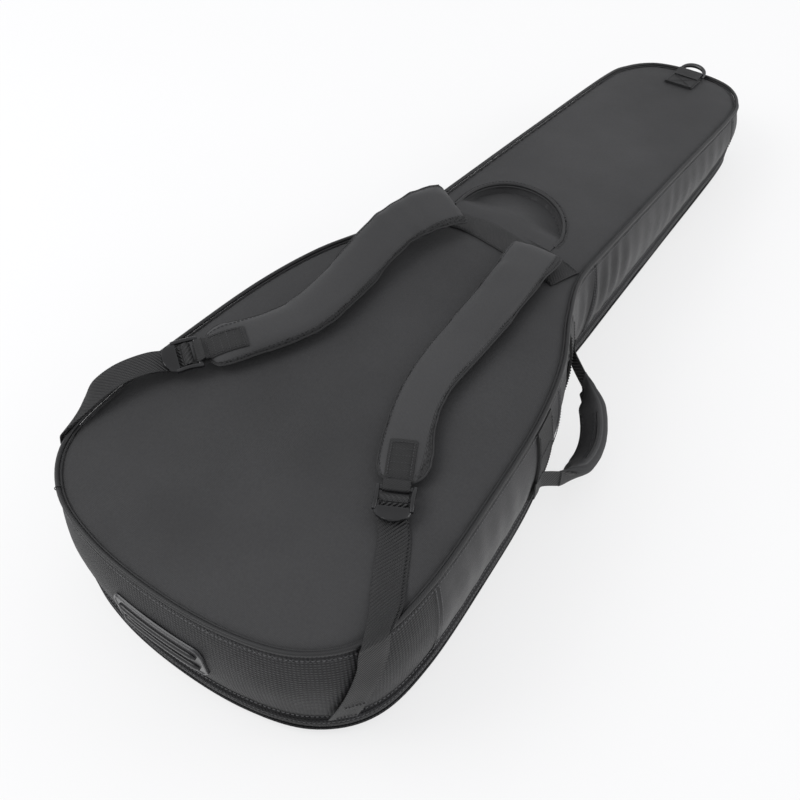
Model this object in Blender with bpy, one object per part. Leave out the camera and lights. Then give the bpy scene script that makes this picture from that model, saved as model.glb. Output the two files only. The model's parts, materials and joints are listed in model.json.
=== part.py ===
"""Padded gig bag for an acoustic guitar, lying on its front panel with the back panel up.

X runs across the bag, Y from the bottom end to the head end, and Z up. The origin is on the floor plane,
under the middle of the bag's length. Lengths along the bag are given from its bottom end, and seam() or
back() puts them in the part's frame. The zip parts the bag just above the front panel: what is below it is
the lid, and what is above it is the shell.
"""

import math

import bmesh
import bpy
from mathutils import Vector

# Driving dimensions, in metres
LENGTH = 1.120  # bottom seam to head seam
BACK_HEIGHT = 0.152  # back panel above the floor, over the guitar's body
HEAD_HEIGHT = 0.091  # back panel above the floor, at the head end
TAPER_START = 0.50  # where the bag begins to get thinner towards the head
POCKET_DEPTH = 0.0110  # flat pockets that the bag lies on
FRONT_BOTTOM = 0.0115  # outer face of the front panel
PANEL_THICK = 0.0150  # padded panels
WALL_THICK = 0.0130  # padded gusset
WALL_BULGE = 0.0060  # how far the gusset swells between its seams
SEAM_EDGE = 0.0030  # the gusset's seams lie this far outside the panel outline
PIPING_RADIUS = 0.0028
ZIP_PLANE = 0.0300
TAPE_HEIGHT = 0.0028
WEB_WIDTH = 0.026  # shoulder strap webbing
WEB_THICK = 0.0014
PAD_THICK = 0.0125
GAP = 0.0004  # clearance between touching pieces
NECK_END = 1.020  # the neck's sides are straight up to here
NECK_START = 0.620
STEPS = 2  # curve samples between two outline points

# Right half of the outline: half width, and distance from the bottom end
HALF_OUTLINE = (
    (0.0765, 0.006),
    (0.1380, 0.026),
    (0.1770, 0.068),
    (0.1880, 0.135),
    (0.1830, 0.240),
    (0.1735, 0.340),
    (0.1550, 0.420),
    (0.1260, 0.487),
    (0.1060, 0.548),
    (0.1025, NECK_START),
    (0.0985, 0.820),
    (0.0945, NECK_END),
    (0.0835, 1.072),
    (0.0610, 1.105),
    (0.0320, 1.118),
)

CLOTH = (0.045, 0.045, 0.048)
WEBBING = (0.020, 0.020, 0.021)
PLASTIC = (0.012, 0.012, 0.013)
LINING = (0.110, 0.110, 0.115)


# ---------------------------------------------------------------- curves and heights


def catmull_rom(a, b, c, d, t):
    """Point at t between b and c on the smooth curve through a, b, c and d."""
    return 0.5 * (2 * b + (c - a) * t + (2 * a - 5 * b + 4 * c - d) * t * t + (3 * b - a - 3 * c + d) * t**3)


def outline_controls():
    """The closed outline's control points, from the bottom end anticlockwise seen from above."""
    right = [Vector((x, y, 0)) for x, y in HALF_OUTLINE]
    left = [Vector((-p.x, p.y, 0)) for p in reversed(right)]
    shift = Vector((0, -LENGTH / 2, 0))
    loop = [Vector((0, 0, 0))] + right + [Vector((0, LENGTH, 0))] + left
    return [p + shift for p in loop]


CONTROLS = outline_controls()
COUNT = len(CONTROLS)
HEAD = COUNT / 2  # the outline's parameter at the head end; 0 is the bottom end


def outline_point(t):
    i = math.floor(t)
    points = [CONTROLS[(i + k) % COUNT] for k in (-1, 0, 1, 2)]
    return catmull_rom(*points, t - i)


def outline_normal(t):
    along = outline_point(t + 0.02) - outline_point(t - 0.02)
    return Vector((along.y, -along.x, 0)).normalized()


def parameter(distance, side):
    """Outline parameter at a distance from the bottom end, on side 1 (right) or -1 (left)."""
    low, high = 0.0, HEAD
    for _ in range(40):
        middle = (low + high) / 2
        if outline_point(middle).y + LENGTH / 2 < distance:
            low = middle
        else:
            high = middle
    return low if side > 0 else COUNT - low


def back_height(y):
    """Height of the back panel over a point at y in the part's frame."""
    run = (y + LENGTH / 2 - TAPER_START) / (LENGTH - TAPER_START)
    return BACK_HEIGHT - (BACK_HEIGHT - HEAD_HEIGHT) * min(1.0, max(0.0, run)) ** 1.15


def wall_offset(share):
    """Outer face of the gusset, outward from the outline, at a share of its height."""
    return SEAM_EDGE + WALL_BULGE * math.sin(math.pi * share)


def seam(t, outward, height):
    """Point beside the outline at parameter t."""
    point = outline_point(t) + outline_normal(t) * outward
    point.z = height
    return point


def wall_point(t, share, outward=0.0):
    """Point on the gusset's outer face, from its lower edge at share 0 to the back seam at share 1."""
    low = ZIP_PLANE + TAPE_HEIGHT + 2 * GAP
    high = back_height(outline_point(t).y) - PIPING_RADIUS - 2 * GAP
    return seam(t, wall_offset(share) + outward, low + (high - low) * share)


def back(x, distance, above=0.0):
    """Point over the back panel, at a distance from the bottom end."""
    y = distance - LENGTH / 2
    return Vector((x, y, back_height(y) + above))


def samples(start, end):
    """Outline parameters from start to end, at every control point's share between them."""
    first = math.floor(start * STEPS) + 1
    last = math.ceil(end * STEPS) - 1
    inner = [k / STEPS for k in range(first, last + 1)]
    inner = [t for t in inner if start + 0.15 / STEPS < t < end - 0.15 / STEPS]
    return [start] + inner + [end]


def whole_loop():
    return [k / STEPS for k in range(COUNT * STEPS)]


def smooth_path(rows, steps):
    """Rows of numbers, joined by a smooth curve through them."""
    rows = [Vector(row) for row in rows]
    padded = [rows[0] * 2 - rows[1]] + rows + [rows[-1] * 2 - rows[-2]]
    found = []
    for i in range(len(rows) - 1):
        found += [catmull_rom(*padded[i : i + 4], k / steps) for k in range(steps)]
    return found + [rows[-1]]


# ---------------------------------------------------------------- mesh builders


def material(name, color, roughness, metallic=0.0):
    made = bpy.data.materials.new(name)
    made.use_nodes = True
    shader = made.node_tree.nodes["Principled BSDF"]
    shader.inputs["Base Color"].default_value = (*color, 1)
    shader.inputs["Roughness"].default_value = roughness
    shader.inputs["Metallic"].default_value = metallic
    return made


def add_object(name, mesh, look, origin=None):
    """Puts a finished bmesh in the scene, with its origin at a joint's axis where one is given."""
    bmesh.ops.recalc_face_normals(mesh, faces=mesh.faces)
    if origin:
        bmesh.ops.translate(mesh, verts=mesh.verts, vec=-Vector(origin))
    data = bpy.data.meshes.new(name)
    mesh.to_mesh(data)
    mesh.free()
    data.materials.append(material(name, *look))
    made = bpy.data.objects.new(name, data)
    made.location = origin or (0, 0, 0)
    bpy.context.collection.objects.link(made)
    return made


def loft(name, sections, look, closed=False, origin=None):
    """Joins equal rings of points, and caps the two ends of an open run."""
    mesh = bmesh.new()
    rings = [[mesh.verts.new(p) for p in section] for section in sections]
    count = len(rings[0])
    pairs = list(zip(rings, rings[1:]))
    if closed:
        pairs.append((rings[-1], rings[0]))
    for one, other in pairs:
        for k in range(count):
            j = (k + 1) % count
            mesh.faces.new((one[k], one[j], other[j], other[k]))
    if not closed:
        mesh.faces.new(rings[0])
        mesh.faces.new(list(reversed(rings[-1])))
    return add_object(name, mesh, look, origin)


def slab(name, low, high, look, span, low_inset, high_inset):
    """A panel of the bag's outline between two heights, inset by its own amount at each face.

    low and high give each face's height for a y. span is the range of distances that it covers.
    """
    start, end = (parameter(distance, 1) if 0 < distance < LENGTH else HEAD * (distance > 0) for distance in span)
    right = samples(start, end)
    mesh = bmesh.new()
    faces = []
    for height, inset in ((low, low_inset), (high, high_inset)):
        rights = [seam(t, -inset, 0) for t in right]
        for point in rights:
            point.z = height(point.y)
        lefts = [Vector((-p.x, p.y, p.z)) for p in rights]
        rows = [[mesh.verts.new(a)] + ([mesh.verts.new(b)] if a.x > 1e-6 else []) for a, b in zip(rights, lefts)]
        faces.append(rows)
    for rows in faces:
        for one, other in zip(rows, rows[1:]):
            mesh.faces.new(one + list(reversed(other)))
    for side in (0, -1):
        for k in range(len(right) - 1):
            corners = (faces[0][k][side], faces[0][k + 1][side], faces[1][k + 1][side], faces[1][k][side])
            mesh.faces.new(corners)
    for k in (0, -1):
        if len(faces[0][k]) == 2:
            mesh.faces.new((faces[0][k][0], faces[0][k][1], faces[1][k][1], faces[1][k][0]))
    return add_object(name, mesh, look)


def box(name, centre, size, look, origin=None):
    mesh = bmesh.new()
    bmesh.ops.create_cube(mesh, size=1)
    bmesh.ops.scale(mesh, verts=mesh.verts, vec=size)
    bmesh.ops.translate(mesh, verts=mesh.verts, vec=centre)
    return add_object(name, mesh, look, origin)


def wall_strip(name, start, end, shares, outward, thick, look):
    """A conforming strip outside the gusset, between two outline parameters and over a range of its height."""
    sections = []
    for t in samples(start, end):
        outer = [wall_point(t, share, outward + thick) for share in shares]
        inner = [wall_point(t, share, outward) for share in reversed(shares)]
        sections.append(outer + inner)
    return loft(name, sections, look)


def ribbon(name, rows, look, thick, steps=2, crown=0.0):
    """A band over the back panel. Each row is x, distance, height above the panel, half width and bank.

    The bank is how far the band's right edge, seen along its path, stands above its middle.
    """
    path = smooth_path(rows, steps)
    sections = []
    for i, row in enumerate(path):
        before, after = path[max(0, i - 1)], path[min(len(path) - 1, i + 1)]
        across = Vector((after[1] - before[1], before[0] - after[0], 0)).normalized()
        profile = ((-1, 0), (-1, 1 - crown), (-0.75, 1), (0.75, 1), (1, 1 - crown), (1, 0)) if crown else (
            (-1, 0), (-1, 1), (1, 1), (1, 0))
        section = []
        for side, level in profile:
            plan = Vector((row[0], row[1], 0)) + across * side * row[3]
            section.append(back(plan.x, plan.y, row[2] + row[4] * side + thick * level))
        sections.append(section)
    return loft(name, sections, look)


def tape(name, points, widths, thick, look, origin=None):
    """A flat strap along points. widths holds the half-width vector at each point."""
    sections = []
    for i, point in enumerate(points):
        along = points[min(len(points) - 1, i + 1)] - points[max(0, i - 1)]
        normal = widths[i].cross(along).normalized() * thick / 2
        wide = widths[i]
        sections.append([point - wide - normal, point - wide + normal, point + wide + normal, point + wide - normal])
    return loft(name, sections, look, origin=origin)


def grid_plate(name, xs, ys, holes, thick, look, place, origin):
    """A plate made of a grid of cells, some of them open. place turns plate coordinates into the frame."""
    mesh = bmesh.new()
    levels = [[[mesh.verts.new(place(x, y, z)) for y in ys] for x in xs] for z in (0, thick)]
    columns, lines = len(xs) - 1, len(ys) - 1
    solid = {(i, j) for i in range(columns) for j in range(lines)} - set(holes)
    for i, j in solid:
        for level in levels:
            mesh.faces.new((level[i][j], level[i + 1][j], level[i + 1][j + 1], level[i][j + 1]))
        edges = (((i, j), (i + 1, j), (i, j - 1)), ((i, j + 1), (i + 1, j + 1), (i, j + 1)))
        edges += (((i, j), (i, j + 1), (i - 1, j)), ((i + 1, j), (i + 1, j + 1), (i + 1, j)))
        for (a, b), (c, d), neighbour in edges:
            if neighbour not in solid:
                mesh.faces.new((levels[0][a][b], levels[0][c][d], levels[1][c][d], levels[1][a][b]))
    return add_object(name, mesh, look, origin)


# ---------------------------------------------------------------- the lid, on the floor side


def make_lid():
    panel_top = FRONT_BOTTOM + PANEL_THICK - 0.0005
    slab("front_panel", lambda y: FRONT_BOTTOM, lambda y: panel_top, (CLOTH, 0.7), (0, LENGTH), 0.0008, 0.0158)
    lining = panel_top + GAP
    slab("front_lining", lambda y: lining, lambda y: lining + 0.0015, (LINING, 0.95), (0, LENGTH), 0.0170, 0.0170)
    top = ZIP_PLANE - TAPE_HEIGHT - 1.5 * GAP
    bottom = FRONT_BOTTOM + PIPING_RADIUS + 2 * GAP
    inner = WALL_THICK + 0.0005
    rim = ((SEAM_EDGE, bottom), (SEAM_EDGE + 0.0005, top), (-inner, top), (-inner, FRONT_BOTTOM + inner),
           (-bottom + FRONT_BOTTOM, bottom))
    loft("front_rim", [[seam(t, o, z) for o, z in rim] for t in whole_loop()], (CLOTH, 0.7), closed=True)
    piping("front_piping", lambda y: FRONT_BOTTOM)


def piping(name, height):
    """A sewn cord all round the outline."""
    sections = []
    for t in whole_loop():
        centre = height(outline_point(t).y)
        ring = []
        for k in range(6):
            turn = math.pi / 3 * k
            outward = SEAM_EDGE + PIPING_RADIUS * math.cos(turn)
            ring.append(seam(t, outward, centre + PIPING_RADIUS * math.sin(turn)))
        sections.append(ring)
    loft(name, sections, (WEBBING, 0.5), closed=True)


# Fabric hinge on the left side, where the zip stops: distances from the bottom end, and the line that the
# shell turns about, just outside the swell of the gusset
HINGE_START, HINGE_END = 0.130, 0.340
SHELL_HINGE = Vector((-0.1985, (HINGE_START + HINGE_END - LENGTH) / 2, ZIP_PLANE))


def make_zip():
    """The two zip tapes, from one end of the fabric hinge round to the other, and the hinge itself."""
    half = GAP / 2
    step = 0.03
    hinge = (parameter(HINGE_END, -1), parameter(HINGE_START, -1))
    zipped = samples(hinge[1] - COUNT + step, hinge[0] - step)
    sewn = samples(hinge[0] + step, hinge[1] - step)
    below, above = ZIP_PLANE - half - TAPE_HEIGHT, ZIP_PLANE + half
    for name, low, high, run, look in (
        ("zip_tape_lid", below, below + TAPE_HEIGHT, zipped, WEBBING),
        ("zip_tape_shell", above, above + TAPE_HEIGHT, zipped, WEBBING),
        ("fabric_hinge", below, above + TAPE_HEIGHT, sewn, CLOTH),
    ):
        profile = ((-0.0050, low), (-0.0050, high), (SEAM_EDGE, high), (SEAM_EDGE, low))
        loft(name, [[seam(t, o, z) for o, z in profile] for t in run], (look, 0.6))


def make_pockets():
    flat = (CLOTH, 0.7)
    slab("body_pocket", lambda y: 0.0, lambda y: POCKET_DEPTH, flat, (0, 0.452), 0.0120, 0.0080)
    slab("neck_pocket", lambda y: 0.0, lambda y: POCKET_DEPTH, flat, (0.500, 1.040), 0.0240, 0.0200)
    tape_y = 0.4535 - LENGTH / 2
    box("pocket_zip", (0, tape_y, 0.0062), (0.230, 0.0022, 0.0066), (WEBBING, 0.6))
    slider = Vector((0.085, tape_y + 0.0032, 0.0062))
    box("pocket_slider", slider, (0.009, 0.0034, 0.0060), (PLASTIC, 0.3), slider)


SLIDER_AT = 0.800  # where the two sliders meet, on the left of the neck
SLIDER_LENGTH = 0.010


def neck_side_frame():
    """Directions along, outward and up beside the straight left side of the neck."""
    one = outline_point(parameter(NECK_START + 0.05, -1))
    other = outline_point(parameter(NECK_END - 0.05, -1))
    along = (other - one).normalized()
    return along, Vector((-along.y, along.x, 0))


def make_sliders():
    along, outward = neck_side_frame()
    for name, step in (("zip_slider_head", 0.5), ("zip_slider_body", -0.5)):
        middle = outline_point(parameter(SLIDER_AT, -1)) + along * step * (SLIDER_LENGTH + 0.002)
        half = SLIDER_LENGTH / 2
        sections = []
        for end in (-half, half):
            ring = []
            for out, up in ((0.0036, -0.0032), (0.0036, 0.0032), (0.0072, 0.0026), (0.0072, -0.0026)):
                point = middle + along * end + outward * (SEAM_EDGE + out - 0.003)
                point.z = ZIP_PLANE + up
                ring.append(point)
            sections.append(ring)
        loft(name, sections, (PLASTIC, 0.3), origin=Vector((middle.x, middle.y, ZIP_PLANE)))
        pull = name.replace("slider", "pull")
        pivot = middle + outward * (SEAM_EDGE + 0.0062)
        pivot.z = ZIP_PLANE
        sections = []
        for drop, wide in ((0.0006, 0.0020), (0.0080, 0.0026), (0.0220, 0.0022)):
            centre = pivot - Vector((0, 0, drop))
            thick = outward * 0.0008
            sections.append([centre - along * wide - thick, centre + along * wide - thick,
                             centre + along * wide + thick, centre - along * wide + thick])
        loft(pull, sections, (PLASTIC, 0.3), origin=pivot)


# ---------------------------------------------------------------- the shell

# The gusset is sewn from eight panels: distances from the bottom end of the seams between them
BOTTOM_PANEL_END = 0.142
BODY_PANEL_END = 0.400
SHOULDER_PANEL_END = 0.590
NECK_PANEL_END = 1.030

BUMPER_HALF = 0.051  # half the bumper's width
BUMPER_SHARE = 0.42  # its middle, as a share of the gusset's height
PATCH_CLEAR = 0.0018  # the handle's patches stand off the gusset, which is hollow-sided at the shoulder


def make_back():
    flat = (CLOTH, 0.75)
    slab("back_panel", lambda y: back_height(y) - PANEL_THICK, back_height, flat, (0, LENGTH), 0.0158, 0.0008)
    under = PANEL_THICK + GAP
    slab("back_lining", lambda y: back_height(y) - under - 0.0015, lambda y: back_height(y) - under,
         (LINING, 0.95), (0, LENGTH), 0.0170, 0.0170)
    piping("back_piping", back_height)


def gusset_section(t):
    """Closed outline of the padded wall, square to the bag's edge at parameter t."""
    shares = (0.0, 0.25, 0.5, 0.75, 1.0)
    outer = [wall_point(t, share) for share in shares]
    top = back_height(outline_point(t).y)
    mitre = PIPING_RADIUS + 2 * GAP
    inner = WALL_THICK + 0.0005
    low = outer[0].z
    middle = (low + top) / 2
    rest = ((-mitre, top - mitre), (-inner, top - inner), (-inner + 0.005, middle), (-inner, low))
    return outer + [seam(t, o, z) for o, z in rest]


def make_gusset():
    marks = (BOTTOM_PANEL_END, BODY_PANEL_END, SHOULDER_PANEL_END, NECK_PANEL_END)
    right = [parameter(mark, 1) for mark in marks]
    left = [parameter(mark, -1) for mark in marks]
    runs = [("gusset_bottom", left[0] - COUNT, right[0]), ("gusset_head", right[3], left[3])]
    for k, place in enumerate(("body", "shoulder", "neck")):
        runs.append((f"gusset_right_{place}", right[k], right[k + 1]))
        runs.append((f"gusset_left_{place}", left[k + 1], left[k]))
    for name, start, end in runs:
        step = 0.004
        loft(name, [gusset_section(t) for t in samples(start + step, end - step)], (CLOTH, 0.6))


def make_bumper():
    """Moulded rubber guard on the bottom end: an oblong plate with two raised ribs."""
    end = bottom_parameter(BUMPER_HALF)
    plate, rib = 0.0018, 0.0056
    profile = [(-0.215, plate * 0.4), (-0.190, plate)]
    for middle in (-0.090, 0.090):
        profile += [(middle - 0.045, plate), (middle - 0.025, rib), (middle + 0.025, rib), (middle + 0.045, plate)]
    profile += [(0.190, plate), (0.215, plate * 0.4)]
    sections = []
    for t in samples(-end, end):
        outer = [wall_point(t, BUMPER_SHARE + share, GAP + rise) for share, rise in profile]
        inner = [wall_point(t, BUMPER_SHARE + share, GAP) for share in (0.215, 0.0, -0.215)]
        sections.append(outer + inner)
    loft("bumper", sections, (PLASTIC, 0.35))


def bottom_parameter(half_width):
    """Outline parameter on the right of the bottom end, at a distance from the middle line."""
    low, high = 0.0, 2.0
    for _ in range(30):
        middle = (low + high) / 2
        low, high = (middle, high) if outline_point(middle).x < half_width else (low, middle)
    return low


LOCK_THICK = 0.0044
LOCK_CLEAR = 0.0042  # the ladder locks' hinge lines past the pads' ends
LOCK_DROP = 0.0035  # and below the pads' tops
BAND_HEIGHT = 0.0006  # the band that the straps are sewn to lies just over the back panel
PAD_LIFT = 0.0032


# The hand-hold at the neck root: its arc's middle and start, half width, reach, and lean to the left
HOLD_MIDDLE, HOLD_START, HOLD_HALF, HOLD_REACH, HOLD_LEAN = -0.010, 0.592, 0.068, 0.081, 0.014


def make_back_trim():
    web = (WEBBING, 0.6)
    band = ((-0.0955, 0.556), (-0.050, 0.5655), (0.0, 0.5605), (0.050, 0.551), (0.0955, 0.538))
    ribbon("strap_band", [(x, y, BAND_HEIGHT, 0.0215, 0) for x, y in band], web, 0.0018)
    recess = []
    for k in range(9):
        turn = math.pi * (0.06 + 0.86 * k / 8)
        lean = HOLD_LEAN * math.sin(turn)
        x, y = HOLD_HALF * math.cos(turn) - lean, HOLD_START + HOLD_REACH * math.sin(turn)
        recess.append((x + HOLD_MIDDLE, y, BAND_HEIGHT, 0.0030, 0))
    ribbon("hand_hold_rim", recess, web, 0.0022, steps=1)
    tab = [(0.0, distance, BAND_HEIGHT, 0.021, 0) for distance in (1.060, 1.105)]
    ribbon("head_tab", tab, web, 0.0028, steps=1)


# Centre line of each shoulder strap pad, top end first: x, distance, extra height, half width, bank
RIGHT_PAD = (
    (0.050, 0.557, 0.002, 0.0325, 0),
    (0.0535, 0.520, 0.000, 0.0325, 0),
    (0.059, 0.455, 0.000, 0.032, 0),
    (0.062, 0.385, 0.000, 0.031, 0),
    (0.0645, 0.330, 0.000, 0.028, 0),
    (0.0735, 0.285, 0.000, 0.027, 0),
    (0.0880, 0.248, 0.000, 0.027, 0),
    (0.1000, 0.2215, 0.000, 0.027, 0),
    (0.1130, 0.196, 0.000, 0.023, 0),
)
LEFT_PAD = (
    (-0.0630, 0.561, 0.0150, 0.0300, 0.0110),
    (-0.0710, 0.539, 0.0175, 0.0305, 0.0110),
    (-0.0800, 0.512, 0.0185, 0.0300, 0.0100),
    (-0.0880, 0.480, 0.0165, 0.0295, 0.0090),
    (-0.0895, 0.449, 0.0130, 0.0290, 0.0080),
    (-0.0880, 0.400, 0.0085, 0.0290, 0.0070),
    (-0.0865, 0.350, 0.0065, 0.0290, 0.0055),
    (-0.0905, 0.315, 0.0055, 0.0290, 0.0045),
    (-0.1010, 0.286, 0.0050, 0.0275, 0.0040),
    (-0.1130, 0.262, 0.0050, 0.0270, 0.0040),
    (-0.1260, 0.237, 0.0055, 0.0265, 0.0045),
    (-0.1405, 0.2165, 0.0060, 0.0245, 0.0050),
)


def heading(rows):
    """Unit direction of a strap at its lower end, on the panel."""
    return (Vector((rows[-1][0] - rows[-2][0], rows[-1][1] - rows[-2][1], 0))).normalized()


def lock_frame(rows):
    """A ladder lock's hinge, and its directions across and along, at the end of a pad."""
    along = heading(rows)
    _, _, lift, half, bank = rows[-1]
    across = Vector((along.y, -along.x, bank / half)).normalized()
    pivot = Vector((rows[-1][0], rows[-1][1], 0)) + along * LOCK_CLEAR
    return back(pivot.x, pivot.y, PAD_LIFT + lift + PAD_THICK - LOCK_DROP), across, along


def make_strap(side, rows):
    """A shoulder strap: its pad, the stitched patch on the pad's end, the ladder lock and the webbing."""
    web = (WEBBING, 0.6)
    tall = [(x, y, PAD_LIFT + lift, wide, bank) for x, y, lift, wide, bank in rows]
    ribbon(f"strap_pad_{side}", tall, (CLOTH, 0.7), PAD_THICK, crown=0.35)
    hinge, across, along = lock_frame(rows)
    _, _, lift, half, bank = rows[-1]
    end = Vector((rows[-1][0], rows[-1][1], 0))
    rise = (rows[-2][2] - lift) / (Vector(rows[-2][:2]) - Vector(rows[-1][:2])).length
    patch = []
    for step in (0.046, 0.024, 0.002):
        plan = end - along * step
        top = PAD_LIFT + lift + rise * step + PAD_THICK + 3 * GAP
        patch.append((plan.x, plan.y, top, WEB_WIDTH / 2, bank * WEB_WIDTH / 2 / half))
    ribbon(f"strap_patch_{side}", patch, web, 0.0016, steps=1)
    up = across.cross(along)
    up = up if up.z > 0 else -up

    def place(x, y, z):
        return hinge + across * x + along * y + up * (z - LOCK_THICK / 2)

    xs = (-0.0178, -0.0142, 0.0142, 0.0178)
    ys = (-0.0025, 0.0020, 0.0055, 0.0150, 0.0205, 0.0240, 0.0350)
    holes = ((1, 1), (1, 3))
    grid_plate(f"ladder_lock_{side}", xs, ys, holes, LOCK_THICK, (PLASTIC, 0.25), place, hinge)
    start = place(0, 0.0290, -WEB_THICK / 2 - 4 * GAP)
    return start, across


def strap_down(side, start, across, plan, edge, foot):
    """Webbing from the ladder lock over the back panel's edge and down the gusset, with its loose tail beneath.

    plan lists x, distance and height above the panel. edge and foot are the distances from the bottom end at
    which the webbing crosses the back seam and reaches the lower seam.
    """
    sign = 1 if side == "right" else -1
    rows = smooth_path([start] + [back(*row) for row in plan], 2)
    points = list(rows)
    crossing, ending = parameter(edge, sign), parameter(foot, sign)
    top = back_height(outline_point(crossing).y)
    clear = SEAM_EDGE + PIPING_RADIUS + 0.0022
    points.append(seam(crossing, clear - 0.0020, top + PIPING_RADIUS + 0.0018))
    points.append(seam(crossing + (ending - crossing) * 0.12, clear + 0.0010, top - 0.0040))
    for share in (0.80, 0.55, 0.30, 0.07):
        t = crossing + (ending - crossing) * (1 - share)
        points.append(wall_point(t, share, 0.0036))
    half = WEB_WIDTH / 2
    widths = []
    for i, point in enumerate(points):
        step = points[min(len(points) - 1, i + 1)] - points[max(0, i - 1)]
        if i < len(rows):
            wide = Vector((step.y, -step.x, 0)).normalized()
            wide = (wide + Vector((0, 0, across.z * (1 - i / len(rows))))).normalized()
        else:
            t = crossing + (ending - crossing) * (i - len(rows)) / (len(points) - 1 - len(rows))
            normal = outline_normal(t)
            wide = Vector((-normal.y, normal.x, 0)) * sign
            wide = wide if wide.dot(widths[0]) > 0 else -wide
        widths.append(wide * half)
    tape(f"strap_webbing_{side}", points, widths, WEB_THICK, (WEBBING, 0.6))


def make_straps():
    """Both straps. Each webbing's plan lists x, distance and height above the panel."""
    right = ((0.1400, 0.1520, 0.0050), (0.1530, 0.1280, 0.0034), (0.1650, 0.1070, 0.0030), (0.1745, 0.0910, 0.0050))
    left = ((-0.1720, 0.1760, 0.0175), (-0.1840, 0.1500, 0.0185), (-0.1900, 0.1240, 0.0150), (-0.1905, 0.1030, 0.0085))
    strap_down("right", *make_strap("right", RIGHT_PAD), right, 0.070, 0.042)
    strap_down("left", *make_strap("left", LEFT_PAD), left, 0.084, 0.056)


RING_AT = 1.107  # the D-ring's flat bar, from the bottom end


def make_ring():
    """D-ring: a flat bar held in the head tab's fold, and a bow that stands out past the head end."""
    half, reach, wire = 0.0185, 0.0190, 0.0021
    pivot = back(0, RING_AT, 0.0040)
    path = [Vector((x, 0, 0)) for x in (half, half / 3, -half / 3, -half)]
    for k in range(1, 8):
        turn = math.pi * k / 8
        path.append(Vector((-half * math.cos(turn), reach * math.sin(turn) ** 0.7, 0.004 * math.sin(turn))))
    sections = []
    for i, centre in enumerate(path):
        along = (path[(i + 1) % len(path)] - path[i - 1]).normalized()
        side = along.cross(Vector((0, 0, 1))).normalized()
        up = side.cross(along)
        turns = [math.pi / 3 * k for k in range(6)]
        sections.append([pivot + centre + side * wire * math.cos(a) + up * wire * math.sin(a) for a in turns])
    loft("d_ring", sections, (PLASTIC, 0.3), closed=True, origin=pivot)


HANDLE_TOP, HANDLE_FOOT = 0.482, 0.350  # the side handle's two ends, from the bottom end
HANDLE_SHARES = (0.24, 0.50)  # the foot's and the top's height up the gusset
HANDLE_REACH = 0.056  # how far its grip stands out from its ends
HANDLE_DROOP = math.radians(45)  # it hangs this far below level


def make_handle():
    """Side carry handle: a patch on the gusset at each end, webbing, and a padded grip between."""
    web = (WEBBING, 0.6)
    ends = (parameter(HANDLE_FOOT, 1), parameter(HANDLE_TOP, 1))
    for name, t, half in (("handle_patch_lower", ends[0], 0.20), ("handle_patch_upper", ends[1], 0.20)):
        wall_strip(name, t - half, t + half, (0.03, 0.25, 0.5, 0.75, 0.97), PATCH_CLEAR, 0.0012, web)
    foot, top = (wall_point(t, share, 0.0042) for t, share in zip(ends, HANDLE_SHARES))
    axis = (foot + top) / 2
    run = (top - foot).normalized()
    level = Vector((run.y, -run.x, 0)).normalized()
    raised = run.cross(level)
    raised = raised if raised.z > 0 else -raised
    outward = level * math.cos(HANDLE_DROOP) - raised * math.sin(HANDLE_DROOP)
    upright = level * math.sin(HANDLE_DROOP) + raised * math.cos(HANDLE_DROOP)

    def arch(share):
        rise = math.sin(math.pi * share) ** 0.62
        return foot.lerp(top, share) + outward * (0.001 + HANDLE_REACH * rise)

    pieces = (
        ("handle_web_lower", 0.085, 0.165, 0.0120, 0.0012),
        ("handle_grip", 0.170, 0.830, 0.0160, 0.0075),
        ("handle_web_upper", 0.835, 0.915, 0.0120, 0.0012),
    )
    for name, first, last, half, thick in pieces:
        count = 5 if "grip" not in name else 10
        sections = []
        for k in range(count + 1):
            share = first + (last - first) * k / count
            centre = arch(share)
            along = (arch(min(1.0, share + 0.01)) - arch(max(0.0, share - 0.01))).normalized()
            out = along.cross(upright).normalized()
            if "grip" in name:
                turns = [math.pi / 4 * j for j in range(8)]
                ring = [(math.copysign(abs(math.cos(a)) ** 0.7, math.cos(a)),
                         math.copysign(abs(math.sin(a)) ** 0.7, math.sin(a))) for a in turns]
            else:
                ring = [(-1, -1), (1, -1), (1, 1), (-1, 1)]
            sections.append([centre + out * thick * u + upright * half * v for u, v in ring])
        loft(name, sections, (CLOTH, 0.6), origin=axis)


def make_inside():
    """What holds the guitar: a cradle under the neck with its strap, and a pad at each end."""
    foam = (LINING, 0.95)
    y = 0.760 - LENGTH / 2
    top = back_height(y) - PANEL_THICK - 0.0040
    low = top - 0.026
    profile = ((-0.075, top), (0.075, top), (0.075, low), (0.030, low), (0.022, low + 0.014), (-0.022, low + 0.014),
               (-0.030, low), (-0.075, low))
    belt = ((-0.068, low - GAP), (0.068, low - GAP), (0.068, low - 0.0020), (-0.068, low - 0.0020))
    for name, half, outline, look in (
        ("neck_cradle", 0.055, profile, foam),
        ("neck_strap", 0.019, belt, (WEBBING, 0.6)),
    ):
        sections = []
        for end in (-half, half):
            drop = (back_height(y + 0.055) - back_height(y - 0.055)) * end / 0.110
            sections.append([Vector((x, y + end, z + drop)) for x, z in outline])
        loft(name, sections, look)
    box("end_pad", (0, 0.024 - LENGTH / 2, 0.080), (0.110, 0.014, 0.070), foam)
    box("head_pad", (0, 1.094 - LENGTH / 2, 0.054), (0.060, 0.012, 0.034), foam)


def hang_shell(pieces):
    """Parents the shell's pieces, and what is carried on them, to an empty on the line that the shell turns about."""
    hinge = bpy.data.objects.new("shell_hinge", None)
    hinge.location = SHELL_HINGE
    bpy.context.collection.objects.link(hinge)
    for piece in pieces:
        piece.parent = hinge
        piece.location -= SHELL_HINGE


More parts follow.
